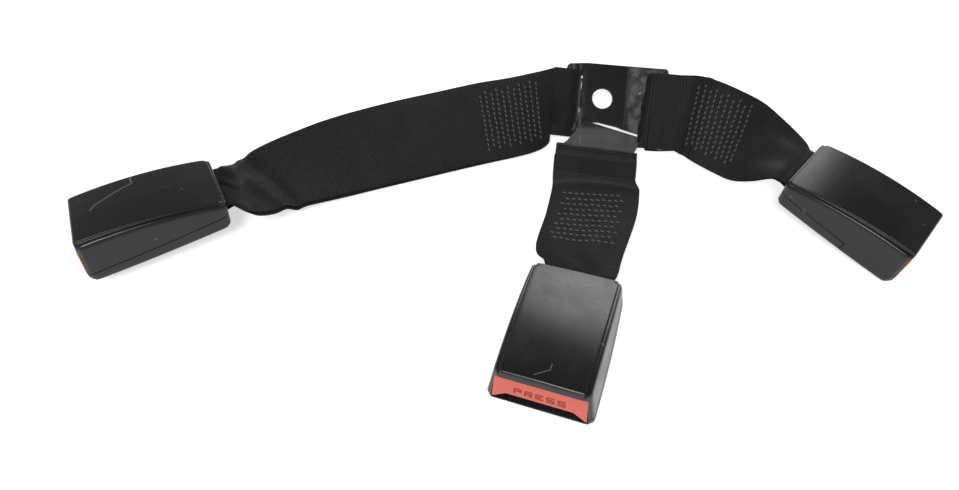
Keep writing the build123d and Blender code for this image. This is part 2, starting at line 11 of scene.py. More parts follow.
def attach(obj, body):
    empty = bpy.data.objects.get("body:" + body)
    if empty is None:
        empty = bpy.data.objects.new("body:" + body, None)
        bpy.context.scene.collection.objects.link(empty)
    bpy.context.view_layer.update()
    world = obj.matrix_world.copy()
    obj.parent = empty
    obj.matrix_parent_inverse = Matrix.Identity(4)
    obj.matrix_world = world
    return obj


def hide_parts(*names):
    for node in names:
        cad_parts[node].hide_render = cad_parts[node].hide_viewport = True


MM = 0.001
FLOOR = -0.017

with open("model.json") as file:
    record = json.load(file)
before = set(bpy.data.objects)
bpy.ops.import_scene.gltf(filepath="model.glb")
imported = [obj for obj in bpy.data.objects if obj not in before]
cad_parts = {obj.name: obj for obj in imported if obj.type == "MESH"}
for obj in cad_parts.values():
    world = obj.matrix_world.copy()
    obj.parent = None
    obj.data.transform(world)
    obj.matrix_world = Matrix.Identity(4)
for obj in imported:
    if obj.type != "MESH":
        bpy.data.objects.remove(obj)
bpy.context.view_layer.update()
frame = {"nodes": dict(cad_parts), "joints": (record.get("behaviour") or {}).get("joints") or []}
joints = {joint["name"]: joint for joint in frame["joints"]}

# Buckle shell, in its own millimetres: x from the rear edge to the nose, z up from its base
shell_length = 66.0
rear_height = 11.8
nose_height = 21.3
crown = 2.6
base_half = 23.65
top_half = 20.75
side_bow = 0.7
nose_rake = 3.9
rear_rake = 2.4
side_lean = (base_half - top_half) / ((rear_height + nose_height) / 2.0)
wall = 2.0
rim_round = 1.2
seam_height = 5.0
seam_rise = 0.9
seam_gap = 0.4
strip_end = 41.0
strip_step = 1.2
opening_top = 17.3
opening_low = 2.0
opening_top_half = 19.7
opening_low_half = 20.9
opening_depth = 14.0
throat_half = 18.4
throat_low = 2.3
throat_high = 9.7
bar_x = 9.0
bar_z = 6.0
bar_reach = 2.1
# Radii of the rear corners, the nose corners and the foot of the nose
rear_radius = 4.0
nose_radius = 3.4
foot_radius = 4.6
# Limits well beyond the shell: ahead of, above and beside it, and behind and below it
far_out = 90.0
far_back = -10.0
# The side strip of the lower cover lies beyond this line, on one side of the middle
strip_side = -14.0
# The ramps in the mouth: where they start, their inner side there and at the nose, their outer side,
# their foot and top, and the gap that they keep from the button
cheek_start = 58.3
cheek_inner = 13.3
cheek_front_inner = 20.2
cheek_outer = 21.2
cheek_foot = 1.2
cheek_top = 7.6
cheek_gap = 0.35

# Press button
button_top = 17.0
button_low = 8.0
button_top_half = 19.4
ear_low = 4.1
ear_half = 20.4
ear_inner = 14.2
button_depth = 11.0
button_face_wall = 2.6
button_wall = 1.2
arm_rear = 46.3
arm_front = 64.6
arm_inner = 10.5
arm_outer = 13.5
arm_low = 10.6
arm_high = 14.0
# The word on the button: its depth, the middle of its height, its letters' pitch and their cells,
# and the limits that its faces lie within
legend_depth = 0.3
legend_middle = 11.8
letter_pitch = 4.6
letter_cell = 0.68
word_half = 11.8
word_low = 9.6
word_high = 13.8

# Webbing
layer = 1.15
full_width = 47.0
# How far the middle of each layer lies from the middle of the doubled strap
layer_middle = layer / 2.0 + 0.03
# Each strap from the bracket to its buckle: place, heading and lean of its width, and width
strap_stations = {
    "left": [
        (-33.5, -7.0, -2.9, 97.0, 34.0, 44.0),
        (-45.5, -13.5, -3.5, 101.0, 30.0, full_width),
        (-78.5, -25.5, -5.0, 104.5, 26.0, full_width),
        (-110.5, -38.0, -5.8, 108.0, 24.0, full_width),
        (-141.8, -50.5, -6.9, 111.0, 19.0, full_width),
        (-171.0, -64.5, -8.0, 115.0, 7.0, full_width),
        (-187.4, -77.3, -6.4, 120.0, -4.0, 46.5),
    ],
    "right": [
        (47.0, -18.0, 6.0, 79.0, 40.0, 45.0),
        (57.0, -23.3, 5.4, 76.0, 42.0, full_width),
        (67.0, -28.0, 4.0, 72.0, 40.0, full_width),
        (78.5, -32.0, 1.8, 65.0, 29.0, full_width),
        (89.5, -37.5, 0.6, 57.0, 14.0, 43.0),
    ],
    "middle": [
        (-6.9, -64.0, -10.4, -1.0, 0.0, full_width),
        (-10.5, -82.0, -11.4, -2.0, 2.0, full_width),
        (-18.0, -107.0, -9.6, -8.0, 4.0, 42.0),
    ],
}
# Each strap's width in its bracket slot, its width and sideways shift where its two layers meet
# beyond the bar, and how far its loose loop bulges in front of the slot
slot_width_of = {"left": 26.7, "right": 31.7, "middle": 34.7}
flare_width_of = {"left": 40.0, "right": 43.0, "middle": 45.0}
flare_shift_of = {"left": -3.0, "right": 0.0, "middle": 0.0}
loop_bulge_of = {"left": 6.6, "right": 3.6, "middle": 2.0}
# Where a strap bunches just outside its buckle: distance out, shift to one side, width
bunch_of = {"left": (5.5, -6.6, 41.0), "right": (5.0, 0.5, 37.5), "middle": (5.0, 0.0, 36.5)}
buckle_loop_width = 32.5
buckle_loop_radius = 2.1
bracket_loop_radius = 3.55
bracket_loop_slack = 3.3
loop_reach = 10.0

# Sewn blocks: where they start along the strap, rows, row pitch, stitches in a row, their pitch, and
# how far the block sits to one side
stitch_blocks = {
    "left": (12.0, 11, 3.3, 12, 2.9, 1.0),
    "right": (8.5, 10, 3.1, 12, 2.9, 1.0),
    "middle": (13.0, 10, 3.7, 10, 3.2, -1.0),
}
stitch_length = 2.1
stitch_radius = 0.42


def shell_top(x):
    """Height of the arched top panel at x."""
    share = x / shell_length
    return rear_height + (nose_height - rear_height) * share + 4.0 * crown * share * (1.0 - share)


def nose_x(z):
    """Where the raked nose is at height z."""
    return shell_length + nose_rake - nose_rake / nose_height * z


def rear_x(z):
    """Where the raked rear end is at height z."""
    return rear_rake - rear_rake / rear_height * z


def smooth_step(value, low, high):
    """Rises softly from 0 to 1 as the value goes from low to high."""
    share = min(max((value - low) / (high - low), 0.0), 1.0)
    return share * share * (3.0 - 2.0 * share)


def mix(a, b, share):
    """The value at this share of the way from a to b."""
    return a + (b - a) * share


# Mesh helpers


def rounded(before, at, after, radius, steps):
    """Points of a soft corner between two straight runs."""
    into = before - at
    out = after - at
    start = at + into.normalized() * min(radius, 0.48 * into.length)
    end = at + out.normalized() * min(radius, 0.48 * out.length)
    points = []
    for n in range(steps + 1):
        share = n / steps
        points.append(start.lerp(at, share).lerp(at.lerp(end, share), share))
    return points


def half_outline(keys, runs, steps=6):
    """From the first key to the last, with corners rounded and each straight run divided."""
    corners = [[keys[0][0]]]
    for n in range(1, len(keys) - 1):
        corners.append(rounded(keys[n - 1][0], keys[n][0], keys[n + 1][0], keys[n][1], steps))
    corners.append([keys[-1][0]])
    points = []
    for n, group in enumerate(corners):
        points.extend(group)
        if n < len(corners) - 1:
            start, end = group[-1], corners[n + 1][0]
            for m in range(1, runs[n]):
                points.append(start.lerp(end, m / runs[n]))
    return points


def full_outline(half):
    """The half outline and its mirror image, as one closed ring."""
    other = [Vector((-p.x, p.y)) for p in reversed(half[1:-1])]
    return half + other


def skin(rings, closed_path=False, capped=False):
    """Faces between rings of equal count."""
    bm = bmesh.new()
    grid = [[bm.verts.new(p) for p in ring] for ring in rings]
    pairs = list(zip(grid, grid[1:]))
    if closed_path:
        pairs.append((grid[-1], grid[0]))
    for ring, after in pairs:
        for n in range(len(ring)):
            m = (n + 1) % len(ring)
            bm.faces.new((ring[n], ring[m], after[m], after[n]))
    if capped:
        bm.faces.new(grid[0])
        bm.faces.new(grid[-1])
    bmesh.ops.recalc_face_normals(bm, faces=bm.faces)
    return bm


def prism(outline, start, end, axis=2):
    """A straight block with this outline, from start to end along an axis."""
    bm = bmesh.new()
    rings = []
    for level in (start, end):
        ring = []
        for a, b in outline:
            point = [a, b]
            point.insert(axis, level)
            ring.append(bm.verts.new(point))
        rings.append(ring)
    for n in range(len(outline)):
        m = (n + 1) % len(outline)
        bm.faces.new((rings[0][n], rings[0][m], rings[1][m], rings[1][n]))
    bm.faces.new(rings[0])
    bm.faces.new(rings[1])
    bmesh.ops.recalc_face_normals(bm, faces=bm.faces)
    return bm


def mark_sharp(bm, angle):
    """Smooth shading, with a hard line only where faces meet at more than the angle."""
    for face in bm.faces:
        face.smooth = True
    for edge in bm.edges:
        if len(edge.link_faces) == 2:
            edge.smooth = edge.calc_face_angle(0.0) < radians(angle)


def make_object(name, bm):
    """An object with this mesh, in the scene."""
    mesh = bpy.data.meshes.new(name)
    bm.to_mesh(mesh)
    bm.free()
    piece = bpy.data.objects.new(name, mesh)
    bpy.context.scene.collection.objects.link(piece)
    return piece


def cut(piece, tools):
    """Takes each tool mesh away from the piece."""
    for bm in tools:
        tool = make_object("cutter", bm)
        modifier = piece.modifiers.new("cut", "BOOLEAN")
        modifier.operation = "DIFFERENCE"
        modifier.solver = "EXACT"
        modifier.object = tool
        bake_modifiers(piece)
        bpy.data.objects.remove(tool)


def take_mesh(piece):
    """The piece's mesh for further work; the piece itself goes."""
    bm = bmesh.new()
    bm.from_mesh(piece.data)
    bpy.data.objects.remove(piece)
    return bm


def join_in(piece, additions):
    """Adds closed shapes to the piece's mesh."""
    bm = bmesh.new()
    bm.from_mesh(piece.data)
    for addition in additions:
        extra = bpy.data.meshes.new("extra")
        addition.to_mesh(extra)
        addition.free()
        bm.from_mesh(extra)
        bpy.data.meshes.remove(extra)
    bm.to_mesh(piece.data)
    bm.free()


def bake_modifiers(piece):
    """Turns the piece's modifiers into its plain mesh."""
    bpy.context.view_layer.update()
    graph = bpy.context.evaluated_depsgraph_get()
    mesh = bpy.data.meshes.new_from_object(piece.evaluated_get(graph))
    piece.modifiers.clear()
    piece.data = mesh


def set_down(name, source, matrix, finishes, body, node):
    """A copy of the source mesh at its place, riding on a body in place of a CAD node."""
    bm = bmesh.new()
    bm.from_mesh(source)
    bmesh.ops.transform(bm, matrix=matrix, verts=bm.verts)
    bmesh.ops.recalc_face_normals(bm, faces=bm.faces)
    mark_sharp(bm, angle=32.0)
    piece = make_object(name, bm)
    for finish in finishes:
        piece.data.materials.append(finish)
    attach(piece, body)
    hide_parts(node)


# Node helpers


def new_group(name, inputs, outputs):
    """An empty shader node group with its sockets, and its two end nodes."""
    tree = bpy.data.node_groups.new(name, "ShaderNodeTree")
    for label, kind, value in inputs:
        socket = tree.interface.new_socket(label, in_out="INPUT", socket_type=kind)
        if value is not None:
            socket.default_value = value
    for label, kind in outputs:
        tree.interface.new_socket(label, in_out="OUTPUT", socket_type=kind)
    return tree, tree.nodes.new("NodeGroupInput"), tree.nodes.new("NodeGroupOutput")


def add_math(tree, operation, first, second=None, third=None, clamp=False):
    """A calculation on numbers or on other nodes' outputs."""
    node = tree.nodes.new("ShaderNodeMath")
    node.operation = operation
    node.use_clamp = clamp
    for socket, value in zip(node.inputs, (first, second, third)):
        if value is None:
            continue
        if isinstance(value, (int, float)):
            socket.default_value = value
        else:
            tree.links.new(value, socket)
    return node.outputs[0]


def add_noise(tree, vector, scale, detail=3.0, roughness=0.5):
    """Soft noise from 0 to 1; its scale may come from another node."""
    node = tree.nodes.new("ShaderNodeTexNoise")
    node.inputs["Detail"].default_value = detail
    node.inputs["Roughness"].default_value = roughness
    if isinstance(scale, (int, float)):
        node.inputs["Scale"].default_value = scale
    else:
        tree.links.new(scale, node.inputs["Scale"])
    tree.links.new(vector, node.inputs["Vector"])
    return node.outputs["Fac"]


def add_range(tree, value, low, high, out_low=0.0, out_high=1.0):
    """Softly maps low to high on to out_low to out_high."""
    node = tree.nodes.new("ShaderNodeMapRange")
    node.interpolation_type = "SMOOTHSTEP"
    tree.links.new(value, node.inputs["Value"])
    for label, number in (("From Min", low), ("From Max", high), ("To Min", out_low), ("To Max", out_high)):
        node.inputs[label].default_value = number
    return node.outputs["Result"]


def add_stretch(tree, vector, factors, turn=(0, 0, 0)):
    """Coordinates scaled along each axis, then turned."""
    node = tree.nodes.new("ShaderNodeMapping")
    node.inputs["Scale"].default_value = factors
    node.inputs["Rotation"].default_value = turn
    tree.links.new(vector, node.inputs["Vector"])
    return node.outputs["Vector"]


def add_color_mix(tree, share, first, second):
    """The first colour where the share is 0, the second where it is 1."""
    node = tree.nodes.new("ShaderNodeMix")
    node.data_type = "RGBA"
    sockets = [s for s in node.inputs if s.type == "RGBA"]
    tree.links.new(share, node.inputs["Factor"])
    for socket, value in zip(sockets, (first, second)):
        if isinstance(value, tuple):
            socket.default_value = value
        else:
            tree.links.new(value, socket)
    return [s for s in node.outputs if s.type == "RGBA"][0]


def object_coordinates(tree):
    """Each piece's own coordinates, in metres."""
    return tree.nodes.new("ShaderNodeTexCoord").outputs["Object"]


def make_grain_group():
    """Fine moulded or cast grain, as a normal and as a mask."""
    tree, inputs, outputs = new_group(
        "surface_grain",
        [
            ("Scale", "NodeSocketFloat", 2500.0),
            ("Depth", "NodeSocketFloat", 0.00002),
        ],
        [("Normal", "NodeSocketVector"), ("Mask", "NodeSocketFloat")],
    )
    where = object_coordinates(tree)
    grain = add_noise(tree, where, inputs.outputs["Scale"], 2.0, 0.6)
    bump = tree.nodes.new("ShaderNodeBump")
    bump.inputs["Strength"].default_value = 1.0
    tree.links.new(inputs.outputs["Depth"], bump.inputs["Distance"])
    tree.links.new(grain, bump.inputs["Height"])
    tree.links.new(bump.outputs["Normal"], outputs.inputs["Normal"])
    tree.links.new(grain, outputs.inputs["Mask"])
    return tree


def make_handling_group():
    """Faint scratches and rubbed patches that handling leaves."""
    tree, inputs, outputs = new_group(
        "handling_marks",
        [
            ("Scratches", "NodeSocketFloat", 0.5),
            ("Patches", "NodeSocketFloat", 0.5),
        ],
        [("Scratch", "NodeSocketFloat"), ("Patch", "NodeSocketFloat")],
    )
    where = object_coordinates(tree)
    total = None
    for turn, scale in (((0.2, 0.1, 0.7), 260.0), ((0.4, 0.9, 2.1), 210.0), ((1.1, 0.3, 1.4), 300.0)):
        lines = add_noise(tree, add_stretch(tree, where, (0.05, 1.0, 1.0), turn), scale, 1.0, 0.4)
        thin = add_range(tree, lines, 0.755, 0.775)
        total = thin if total is None else add_math(tree, "MAXIMUM", total, thin)
    broken = add_range(tree, add_noise(tree, where, 55.0, 2.0), 0.5, 0.62)
    scratch = add_math(tree, "MULTIPLY", total, broken)
    scratch = add_math(tree, "MULTIPLY", scratch, inputs.outputs["Scratches"])
    tree.links.new(scratch, outputs.inputs["Scratch"])
    patch = add_range(tree, add_noise(tree, where, 38.0, 4.0, 0.6), 0.42, 0.68)
    patch = add_math(tree, "MULTIPLY", patch, inputs.outputs["Patches"])
    tree.links.new(patch, outputs.inputs["Patch"])
    return tree


def make_weave_group():
    """Seat belt weave from a map in millimetres: cross ribs broken by a fine twill."""
    tree, inputs, outputs = new_group(
        "belt_weave",
        [
            ("Map", "NodeSocketVector", None),
            ("Rib", "NodeSocketFloat", 1.25),
            ("Yarn", "NodeSocketFloat", 0.95),
        ],
        [("Height", "NodeSocketFloat")],
    )
    split = tree.nodes.new("ShaderNodeSeparateXYZ")
    tree.links.new(inputs.outputs["Map"], split.inputs[0])
    across, along = split.outputs["X"], split.outputs["Y"]
    waver = add_noise(tree, inputs.outputs["Map"], 0.35, 2.0)
    waver = add_math(tree, "MULTIPLY", add_math(tree, "SUBTRACT", waver, 0.5), 0.5)
    along = add_math(tree, "ADD", along, waver)
    rib_phase = add_math(tree, "DIVIDE", along, inputs.outputs["Rib"])
    row = add_math(tree, "FLOOR", rib_phase)
    rib = add_math(tree, "ABSOLUTE", add_math(tree, "SINE", add_math(tree, "MULTIPLY", rib_phase, pi)))
    shift = add_math(tree, "MULTIPLY", add_math(tree, "MODULO", row, 2.0), 0.5)
    yarn_phase = add_math(tree, "ADD", add_math(tree, "DIVIDE", across, inputs.outputs["Yarn"]), shift)
    lean = add_math(tree, "MULTIPLY", rib_phase, 0.45)
    yarn_phase = add_math(tree, "ADD", yarn_phase, lean)
    yarn = add_math(tree, "ABSOLUTE", add_math(tree, "SINE", add_math(tree, "MULTIPLY", yarn_phase, pi)))
    rib = add_math(tree, "POWER", rib, 0.6)
    yarn = add_math(tree, "POWER", yarn, 0.5)
    tree.links.new(add_math(tree, "MULTIPLY", rib, yarn), outputs.inputs["Height"])
    return tree


def make_line_group():
    """A short worn line between two places, seen from above."""
    tree, inputs, outputs = new_group(
        "worn_line",
        [
            ("Start", "NodeSocketVector", None),
            ("End", "NodeSocketVector", None),
            ("Width", "NodeSocketFloat", 0.0003),
        ],
        [("Mask", "NodeSocketFloat")],
    )

    def vector(operation, first, second):
        """A calculation on vectors."""
        node = tree.nodes.new("ShaderNodeVectorMath")
        node.operation = operation
        tree.links.new(first, node.inputs[0])
        if isinstance(second, tuple):
            node.inputs[1].default_value = second
        else:
            tree.links.new(second, node.inputs[1])
        return node

    flat = vector("MULTIPLY", object_coordinates(tree), (1.0, 1.0, 0.0)).outputs["Vector"]
    run = vector("SUBTRACT", inputs.outputs["End"], inputs.outputs["Start"]).outputs["Vector"]
    away = vector("SUBTRACT", flat, inputs.outputs["Start"]).outputs["Vector"]
    ahead = vector("DOT_PRODUCT", away, run).outputs["Value"]
    length = vector("DOT_PRODUCT", run, run).outputs["Value"]
    share = add_math(tree, "DIVIDE", ahead, length, clamp=True)
    scaled = tree.nodes.new("ShaderNodeVectorMath")
    scaled.operation = "SCALE"
    tree.links.new(run, scaled.inputs[0])
    tree.links.new(share, scaled.inputs["Scale"])
    distance = vector("DISTANCE", away, scaled.outputs["Vector"]).outputs["Value"]
    near = add_math(tree, "DIVIDE", distance, inputs.outputs["Width"])
    tree.links.new(add_range(tree, near, 0.6, 1.4, 1.0, 0.0), outputs.inputs["Mask"])
    return tree


line_group = make_line_group()
grain_group = make_grain_group()
handling_group = make_handling_group()
weave_group = make_weave_group()


def place_group(tree, group, values):
    """A node group in a material, with its own values; gives its outputs."""
    node = tree.nodes.new("ShaderNodeGroup")
    node.node_tree = group
    for label, value in values.items():
        if isinstance(value, (int, float, tuple)):
            node.inputs[label].default_value = value
        else:
            tree.links.new(value, node.inputs[label])
    return node.outputs


def new_material(name, roughness=0.5, metallic=0.0, specular=0.5, sheen=0.0):
    """A material with its tree and its Principled shader."""
    material = bpy.data.materials.new(name)
    material.use_nodes = True
    tree = material.node_tree
    shader = tree.nodes["Principled BSDF"]
    shader.inputs["Roughness"].default_value = roughness
    shader.inputs["Metallic"].default_value = metallic
    shader.inputs["Specular IOR Level"].default_value = specular
    shader.inputs["Sheen Weight"].default_value = sheen
    shader.inputs["Sheen Roughness"].default_value = 0.4
    return material, tree, shader


def worn_lines(tree, lines):
    """Mask of a material's own marks; each has its corners in millimetres and its width."""
    total = None
    for width, corners in lines:
        for first, last in zip(corners, corners[1:]):
            start = (first[0] * MM, first[1] * MM, 0.0)
            end = (last[0] * MM, last[1] * MM, 0.0)
            mask = place_group(tree, line_group, {"Start": start, "End": end, "Width": width * MM})["Mask"]
            total = mask if total is None else add_math(tree, "MAXIMUM", total, mask)
    return total


def plastic_material(name, base, second_tone, roughness, rubbed, grain, depth, scratches, lines=()):
    """Moulded plastic with grain, rubbed patches and light scratches."""
    material, tree, shader = new_material(name)
    surface = place_group(tree, grain_group, {"Scale": grain, "Depth": depth})
    marks = place_group(tree, handling_group, {"Scratches": scratches, "Patches": 1.0})
    tint = add_color_mix(tree, add_math(tree, "MULTIPLY", marks["Patch"], 0.35), base, second_tone)
    tint = add_color_mix(tree, marks["Scratch"], tint, (0.25, 0.25, 0.25, 1.0))
    if lines:
        tint = add_color_mix(tree, worn_lines(tree, lines), tint, (0.13, 0.13, 0.13, 1.0))
    tree.links.new(tint, shader.inputs["Base Color"])
    gloss = add_range(tree, marks["Patch"], 0.0, 1.0, roughness, rubbed)
    tree.links.new(gloss, shader.inputs["Roughness"])
    tree.links.new(surface["Normal"], shader.inputs["Normal"])
    return material


def steel_material(name, base, roughness):
    """Plain or plated steel with a slightly uneven finish."""
    material, tree, shader = new_material(name, roughness, metallic=1.0)
    surface = place_group(tree, grain_group, {"Scale": 1800.0, "Depth": 0.000012})
    marks = place_group(tree, handling_group, {"Scratches": 0.5, "Patches": 1.0})
    dark = tuple(0.7 * c for c in base[:3]) + (1.0,)
    tree.links.new(add_color_mix(tree, marks["Patch"], base, dark), shader.inputs["Base Color"])
    gloss = add_range(tree, surface["Mask"], 0.3, 0.7, roughness - 0.08, roughness + 0.1)
    tree.links.new(gloss, shader.inputs["Roughness"])
    tree.links.new(surface["Normal"], shader.inputs["Normal"])
    return material


def bracket_material():
    """Black finish over steel, with grey painted in as light: painted light on the right wing, mottled like
    rubbed paint, an even painted light on the front tab, and painted highlight streaks along the left
    wing's bend."""
    material, tree, shader = new_material("bracket_black", 0.45, specular=0.22)
    where = object_coordinates(tree)
    surface = place_group(tree, grain_group, {"Scale": 1500.0, "Depth": 0.00003})
    marks = place_group(tree, handling_group, {"Scratches": 0.9, "Patches": 1.0})
    split = tree.nodes.new("ShaderNodeSeparateXYZ")
    tree.links.new(where, split.inputs[0])
    # Painted light: the right wing greyed as if lit from the side, broken into a mottle like rubbed paint
    right_wing = add_range(tree, split.outputs["X"], 0.0125, 0.0165)
    mottle = add_range(tree, add_noise(tree, where, 190.0, 5.0, 0.65), 0.36, 0.64, 0.25, 1.0)
    second_tone = add_math(tree, "MULTIPLY", right_wing, mottle)
    # Painted light: the front tab evenly greyed as if lit from above
    front_tab = add_range(tree, split.outputs["Y"], -0.016, -0.020)
    second_tone = add_math(tree, "MAXIMUM", second_tone, add_math(tree, "MULTIPLY", front_tab, 0.55))
    # Painted highlight: grey streaks along the left wing's bend
    left_wing = add_range(tree, split.outputs["X"], -0.0105, -0.0135)
    drawn_out = add_stretch(tree, where, (1.0, 0.15, 0.3))
    bend_highlight = add_range(tree, add_noise(tree, drawn_out, 420.0, 3.0), 0.45, 0.62)
    second_tone = add_math(tree, "MAXIMUM", second_tone, add_math(tree, "MULTIPLY", left_wing, bend_highlight))
    tint = add_color_mix(tree, second_tone, (0.005, 0.005, 0.006, 1.0), (0.12, 0.12, 0.123, 1.0))
    tint = add_color_mix(tree, marks["Scratch"], tint, (0.4, 0.4, 0.4, 1.0))
    tree.links.new(tint, shader.inputs["Base Color"])
    tree.links.new(add_range(tree, mottle, 0.0, 1.0, 0.38, 0.55), shader.inputs["Roughness"])
    tree.links.new(surface["Normal"], shader.inputs["Normal"])
    return material


def webbing_material():
    """Black polyester weave with a faint sheen; its rib tops are painted lighter as highlights and its
    grooves darker as painted shade, more so in broad patches.
    """
    material, tree, shader = new_material("webbing_black", 0.62, specular=0.34, sheen=0.04)
    coordinates = tree.nodes.new("ShaderNodeUVMap")
    coordinates.uv_map = "webbing"
    weave = place_group(tree, weave_group, {"Map": coordinates.outputs["UV"]})
    where = object_coordinates(tree)
    # Broad patches in which the painted highlight on the ribs is stronger
    highlight_patches = add_range(tree, add_noise(tree, where, 45.0, 4.0, 0.6), 0.35, 0.7)
    fuzz = add_noise(tree, where, 3500.0, 2.0)
    lift = add_math(tree, "MULTIPLY", weave["Height"], add_math(tree, "MULTIPLY_ADD", highlight_patches, 0.5, 0.5))
    # Painted highlight and shade: the weave's tops lighter, its grooves darker
    tint = add_color_mix(tree, lift, (0.002, 0.002, 0.0024, 1.0), (0.017, 0.0173, 0.019, 1.0))
    tree.links.new(tint, shader.inputs["Base Color"])
    tree.links.new(add_range(tree, weave["Height"], 0.0, 1.0, 0.9, 0.42), shader.inputs["Roughness"])
    bump = tree.nodes.new("ShaderNodeBump")
    bump.inputs["Strength"].default_value = 1.0
    bump.inputs["Distance"].default_value = 0.00022
    height = add_math(tree, "ADD", weave["Height"], add_math(tree, "MULTIPLY", fuzz, 0.25))
    tree.links.new(height, bump.inputs["Height"])
    tree.links.new(bump.outputs["Normal"], shader.inputs["Normal"])
    return material


def speck(x, y, width=0.35):
    """A mark that is little more than a point."""
    return width, ((x, y), (x + 0.5, y - 0.6))


# Worn marks on the shells' tops: their width and corners, in the set's own millimetres
left_scratch = (
    (-245.6, -83.8),
    (-241.1, -90.2),
    (-245.5, -96.5),
    (-251.8, -107.2),
    (-251.9, -110.3),
)
middle_hook = ((-43.6, -181.6), (-37.1, -179.5), (-36.2, -176.8))
shell_marks = {
    "left": ((0.38, left_scratch), speck(-268.6, -98.8), speck(-216.1, -91.8)),
    "right": (speck(151.0, -75.7, 0.3),),
    "middle": ((0.2, middle_hook), speck(-14.6, -143.1), speck(-15.0, -165.8)),
}
shell_black = {
    side: plastic_material(
        f"{side}_shell_black",
        base=(0.0075, 0.008, 0.009, 1.0),
        second_tone=(0.013, 0.0135, 0.015, 1.0),
        roughness=0.27,
        rubbed=0.34,
        grain=2600.0,
        depth=0.000008,
        scratches=0.4,
        lines=lines,
    )
    for side, lines in shell_marks.items()
}
lower_black = plastic_material(
    "lower_black",
    base=(0.014, 0.0145, 0.016, 1.0),
    second_tone=(0.019, 0.0195, 0.021, 1.0),
    roughness=0.36,
    rubbed=0.44,
    grain=2400.0,
    depth=0.00001,
    scratches=0.4,
)
button_red = plastic_material(
    "button_red",
    base=(0.76, 0.14, 0.095, 1.0),
    second_tone=(0.72, 0.16, 0.11, 1.0),
    roughness=0.38,
    rubbed=0.5,
    grain=2200.0,
    depth=0.00001,
    scratches=0.15,
)
# Darker red for the letters' floors: painted shade in the cut-in word
legend_painted_shade = plastic_material(
    "legend_painted_shade",
    base=(0.3, 0.05, 0.035, 1.0),
    second_tone=(0.26, 0.06, 0.04, 1.0),
    roughness=0.5,
    rubbed=0.6,
    grain=2200.0,
    depth=0.00001,
    scratches=0.1,
)
natural_plastic = plastic_material(
    "natural_plastic",
    base=(0.6, 0.6, 0.56, 1.0),
    second_tone=(0.5, 0.5, 0.46, 1.0),
    roughness=0.4,
    rubbed=0.5,
    grain=2200.0,
    depth=0.00001,
    scratches=0.2,
)
plated_steel = steel_material("plated_steel", (0.5, 0.5, 0.5, 1.0), 0.34)
dark_steel = steel_material("dark_steel", (0.25, 0.25, 0.26, 1.0), 0.38)
bracket_black = bracket_material()
webbing_black = webbing_material()
thread_black, thread_tree, thread_shader = new_material("thread_black", 0.42, sheen=0.4)
thread_grain = place_group(thread_tree, grain_group, {"Scale": 6000.0, "Depth": 0.00003})
thread_tint = add_color_mix(
    thread_tree, thread_grain["Mask"], (0.05, 0.05, 0.052, 1.0), (0.16, 0.16, 0.165, 1.0)
)
thread_tree.links.new(thread_tint, thread_shader.inputs["Base Color"])
thread_tree.links.new(thread_grain["Normal"], thread_shader.inputs["Normal"])


# Buckle shell


def outer_keys(share, inset):
    """Key points of half the shell's section, from the middle of its base to that of its top."""
    x = shell_length * share
    bow = 4.0 * side_bow * share * (1.0 - share)
    step = mix(0.6, 1.4, share)
    margin = mix(1.9, 2.7, share)
    foot_round = mix(1.0, 3.4, share)
    top = shell_top(x) - inset
    shoulder = top - step

    def half(z):
        """Half the width at height z."""
        return base_half + bow - side_lean * z - inset

    shoulder_half = half(shoulder)
    panel_half = shoulder_half - margin
    return [
        (Vector((0.0, inset)), 0.0),
        (Vector((half(inset), inset)), foot_round),
        (Vector((shoulder_half, shoulder)), 2.6),
        (Vector((panel_half + 0.2, shoulder - 0.1)), 0.5),
        (Vector((panel_half, top)), 0.3),
        (Vector((0.0, top + 0.25)), 0.0),
    ]


def block_keys(low_half, low, high_half, high):
    """Key points of a plain opening, matched one to one with those of the section."""
    return [
        (Vector((0.0, low)), 0.0),
        (Vector((low_half, low)), 0.4),
        (Vector((high_half, high)), 0.4),
        (Vector((high_half - 1.2, high)), 0.05),
        (Vector((high_half - 2.4, high)), 0.05),
        (Vector((0.0, high)), 0.0),
    ]


# Divisions of the straight runs of the section, from the middle of the base to that of the top
section_runs = (10, 10, 2, 1, 12)


def ring_at(share, keys, shift=0.0):
    """The ring of points at this share of the length, leaning as the ends do."""
    points = []
    for p in full_outline(half_outline(keys, section_runs)):
        x = mix(rear_x(p.y), nose_x(p.y), share) + shift
        points.append(Vector((x, p.x, p.y)))
    return points


def squeeze(first, second):
    """Moves a point of a square corner on to the round one."""
    reach = max(first, second)
    length = (first * first + second * second) ** 0.5
    if first <= 0.0 or second <= 0.0 or length == 0.0:
        return first, second
    return first * reach / length, second * reach / length


def round_ends(point):
    """Rounds the shell's upright corners, and the foot of its nose."""
    x, y, z = point
    bow = 4.0 * side_bow * (x / shell_length) * (1.0 - x / shell_length)
    half = base_half + bow - side_lean * z
    side = 1.0 if y >= 0 else -1.0
    back, out = squeeze(rear_x(z) + rear_radius - x, abs(y) - (half - rear_radius))
    if back > 0.0 and out > 0.0:
        x = rear_x(z) + rear_radius - back
        y = side * (half - rear_radius + out)
    ahead, out = squeeze(x - (nose_x(z) - nose_radius), abs(y) - (half - nose_radius))
    if ahead > 0.0 and out > 0.0:
        x = nose_x(z) - nose_radius + ahead
        y = side * (half - nose_radius + out)
    ahead, down = squeeze(x - (nose_x(z) - foot_radius), foot_radius - z)
    if ahead > 0.0 and down > 0.0:
        x = nose_x(z) - foot_radius + ahead
        z = foot_radius - down
    return Vector((x, y, z))


def rim_rings(share, inward):
    """The rounded edge at one end of the shell, from the end's face to its outside."""
    steps = 5
    rings = []
    for n in range(steps + 1):
        angle = pi / 2.0 * n / steps
        keys = outer_keys(share, rim_round * (1.0 - sin(angle)))
        rings.append(ring_at(share, keys, inward * rim_round * (1.0 - cos(angle))))
    return rings


